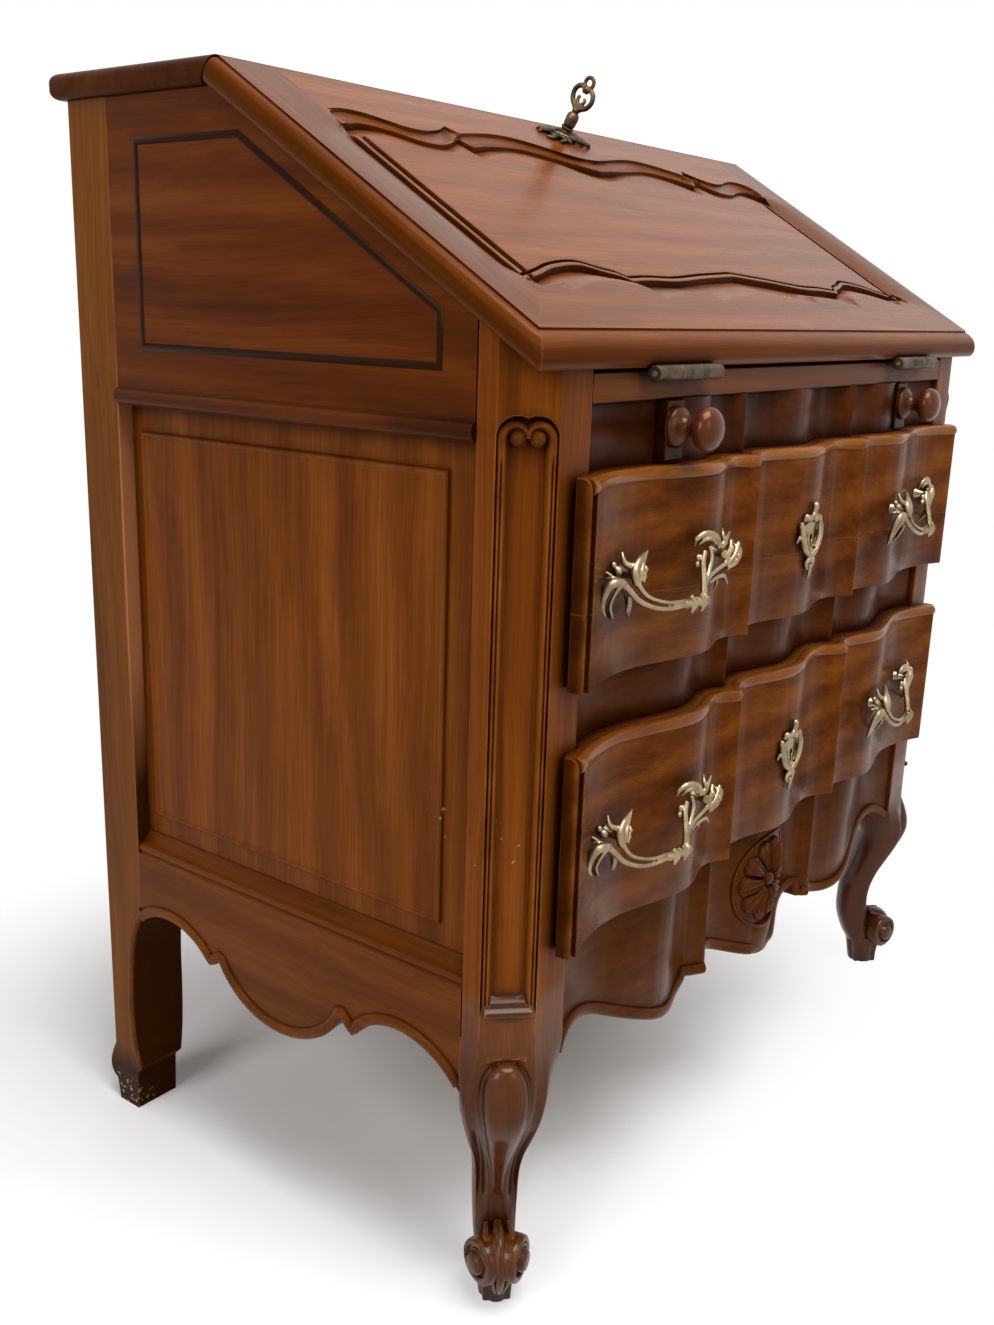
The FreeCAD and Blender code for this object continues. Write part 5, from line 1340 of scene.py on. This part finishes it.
def make_front_bead():
    path = []
    for k in range(171):
        x = -339 + 678 * k / 170
        y = face_of("front_apron", x, 290)
        z = low_edge("front_apron", x * MM, y + 2 * MM)
        if z is not None:
            path.append(Vector((x * MM, y - 0.4 * MM, z + 5.2 * MM)))
    shape = Shape().tube(path, [5.4 * MM], sides=12, flat=0.62, up=(0, 1, 0), steps=0)
    make("front_apron_bead", shape, WOOD["apron"], "case", 50)


def make_side_beads():
    path = []
    for k in range(131):
        y = ORIGIN - (50.5 + 389 * k / 130) * MM
        z = low_edge("side_apron_left", (-HALF + 2) * MM, y)
        if z is not None:
            path.append(Vector(((-HALF - 0.3) * MM, y, z + 5.0 * MM)))
    shape = Shape().tube(path, [5.2 * MM], sides=12, flat=0.6, up=(1, 0, 0), steps=0)
    # it runs on down the front edge of the back leg
    leg = [place(-HALF - 0.2, d, z) for d, z in ((37, 49), (29.5, 86), (28.5, 134), (35, 186), (43, 207), (52, 222))]
    shape.tube(leg, [3.0 * MM, 3.4 * MM, 3.4 * MM, 3.6 * MM, 4.4 * MM], sides=12, flat=0.6, up=(1, 0, 0))
    make_both(("side_apron_bead_", shape, WOOD["side_apron"], 50, None))


make_rosette()
make_front_bead()
make_side_beads()


# --- stage, light and camera

def floor_material():
    n = Nodes(bpy.data.materials.new("pale_floor"))
    spot = n.add("TexCoord", out="Object")
    speck = n.noise(n.stretch(spot, (9, 9, 9)), 1.0, 4.0)
    matt = n.add("BsdfDiffuse", {"Color": n.ramp(speck, [(0.3, (0.90, 0.90, 0.90)), (0.7, (0.93, 0.93, 0.93))])})
    white = n.add("Emission", {"Color": WHITE, "Strength": 1.0})
    far = n.vector("LENGTH", n.stretch(spot, (1.0, 1.25, 1), shift=(0.20, -0.19, 0)), out="Value")
    fade = n.span(far, 0.22, 0.80, interpolation_type="SMOOTHSTEP")
    return n.finish(n.add("MixShader", {0: n.times(fade, n.direct()), 1: matt, 2: white}))


def make_floor():
    mesh = bpy.data.meshes.new("floor")
    reach = 7.0
    corners = [(-reach, -reach, 0), (reach, -reach, 0), (reach, reach, 0), (-reach, reach, 0)]
    mesh.from_pydata(corners, [], [(0, 1, 2, 3)])
    mesh.materials.append(floor_material())
    show("floor", mesh)


def make_world():
    world = bpy.data.worlds.new("studio")
    bpy.context.scene.world = world
    n = Nodes(world)
    fill = n.add("Background", {"Color": WHITE, "Strength": 0.27})
    white = n.add("Background", {"Color": WHITE, "Strength": 1.0})
    n.finish(n.add("MixShader", {0: n.direct(), 1: fill, 2: white}), "World")


def make_lamp(name, place_at, aim, size, power):
    data = bpy.data.lights.new(name, "AREA")
    data.shape = "RECTANGLE"
    data.size, data.size_y = size
    data.energy = power
    lamp = show(name, data)
    lamp.location = place_at
    lamp.rotation_euler = (Vector(aim) - Vector(place_at)).to_track_quat("-Z", "Y").to_euler()


def make_camera():
    azimuth, pitch, roll = (math.radians(a) for a in (-52.81, 15.19, 1.76))
    back = Vector((math.sin(azimuth) * math.cos(pitch), -math.cos(azimuth) * math.cos(pitch), math.sin(pitch)))
    right = (-back).cross(Vector((0, 0, 1))).normalized()
    up = right.cross(-back)
    across = right * math.cos(roll) + up * math.sin(roll)
    rise = up * math.cos(roll) - right * math.sin(roll)
    data = bpy.data.cameras.new("camera")
    data.sensor_width = 36
    data.lens = 35.84
    data.clip_start = 0.05
    camera = show("camera", data)
    camera.matrix_world = Matrix((across, rise, back)).transposed().to_4x4()
    camera.location = place(-1121, 1005, 787)
    bpy.context.scene.camera = camera


make_floor()
make_world()
make_lamp("soft_top", (-0.4, -0.9, 2.8), (0.0, 0.0, 0.4), (1.6, 1.6), 78)
make_lamp("soft_left", (-2.7, 0.1, 1.7), (-0.3, 0.0, 0.45), (1.3, 1.3), 34)
make_lamp("soft_front", (-0.7, -2.8, 1.6), (0.0, 0.0, 0.4), (1.0, 1.2), 9)
make_camera()
bpy.context.scene.view_settings.view_transform = "Standard"
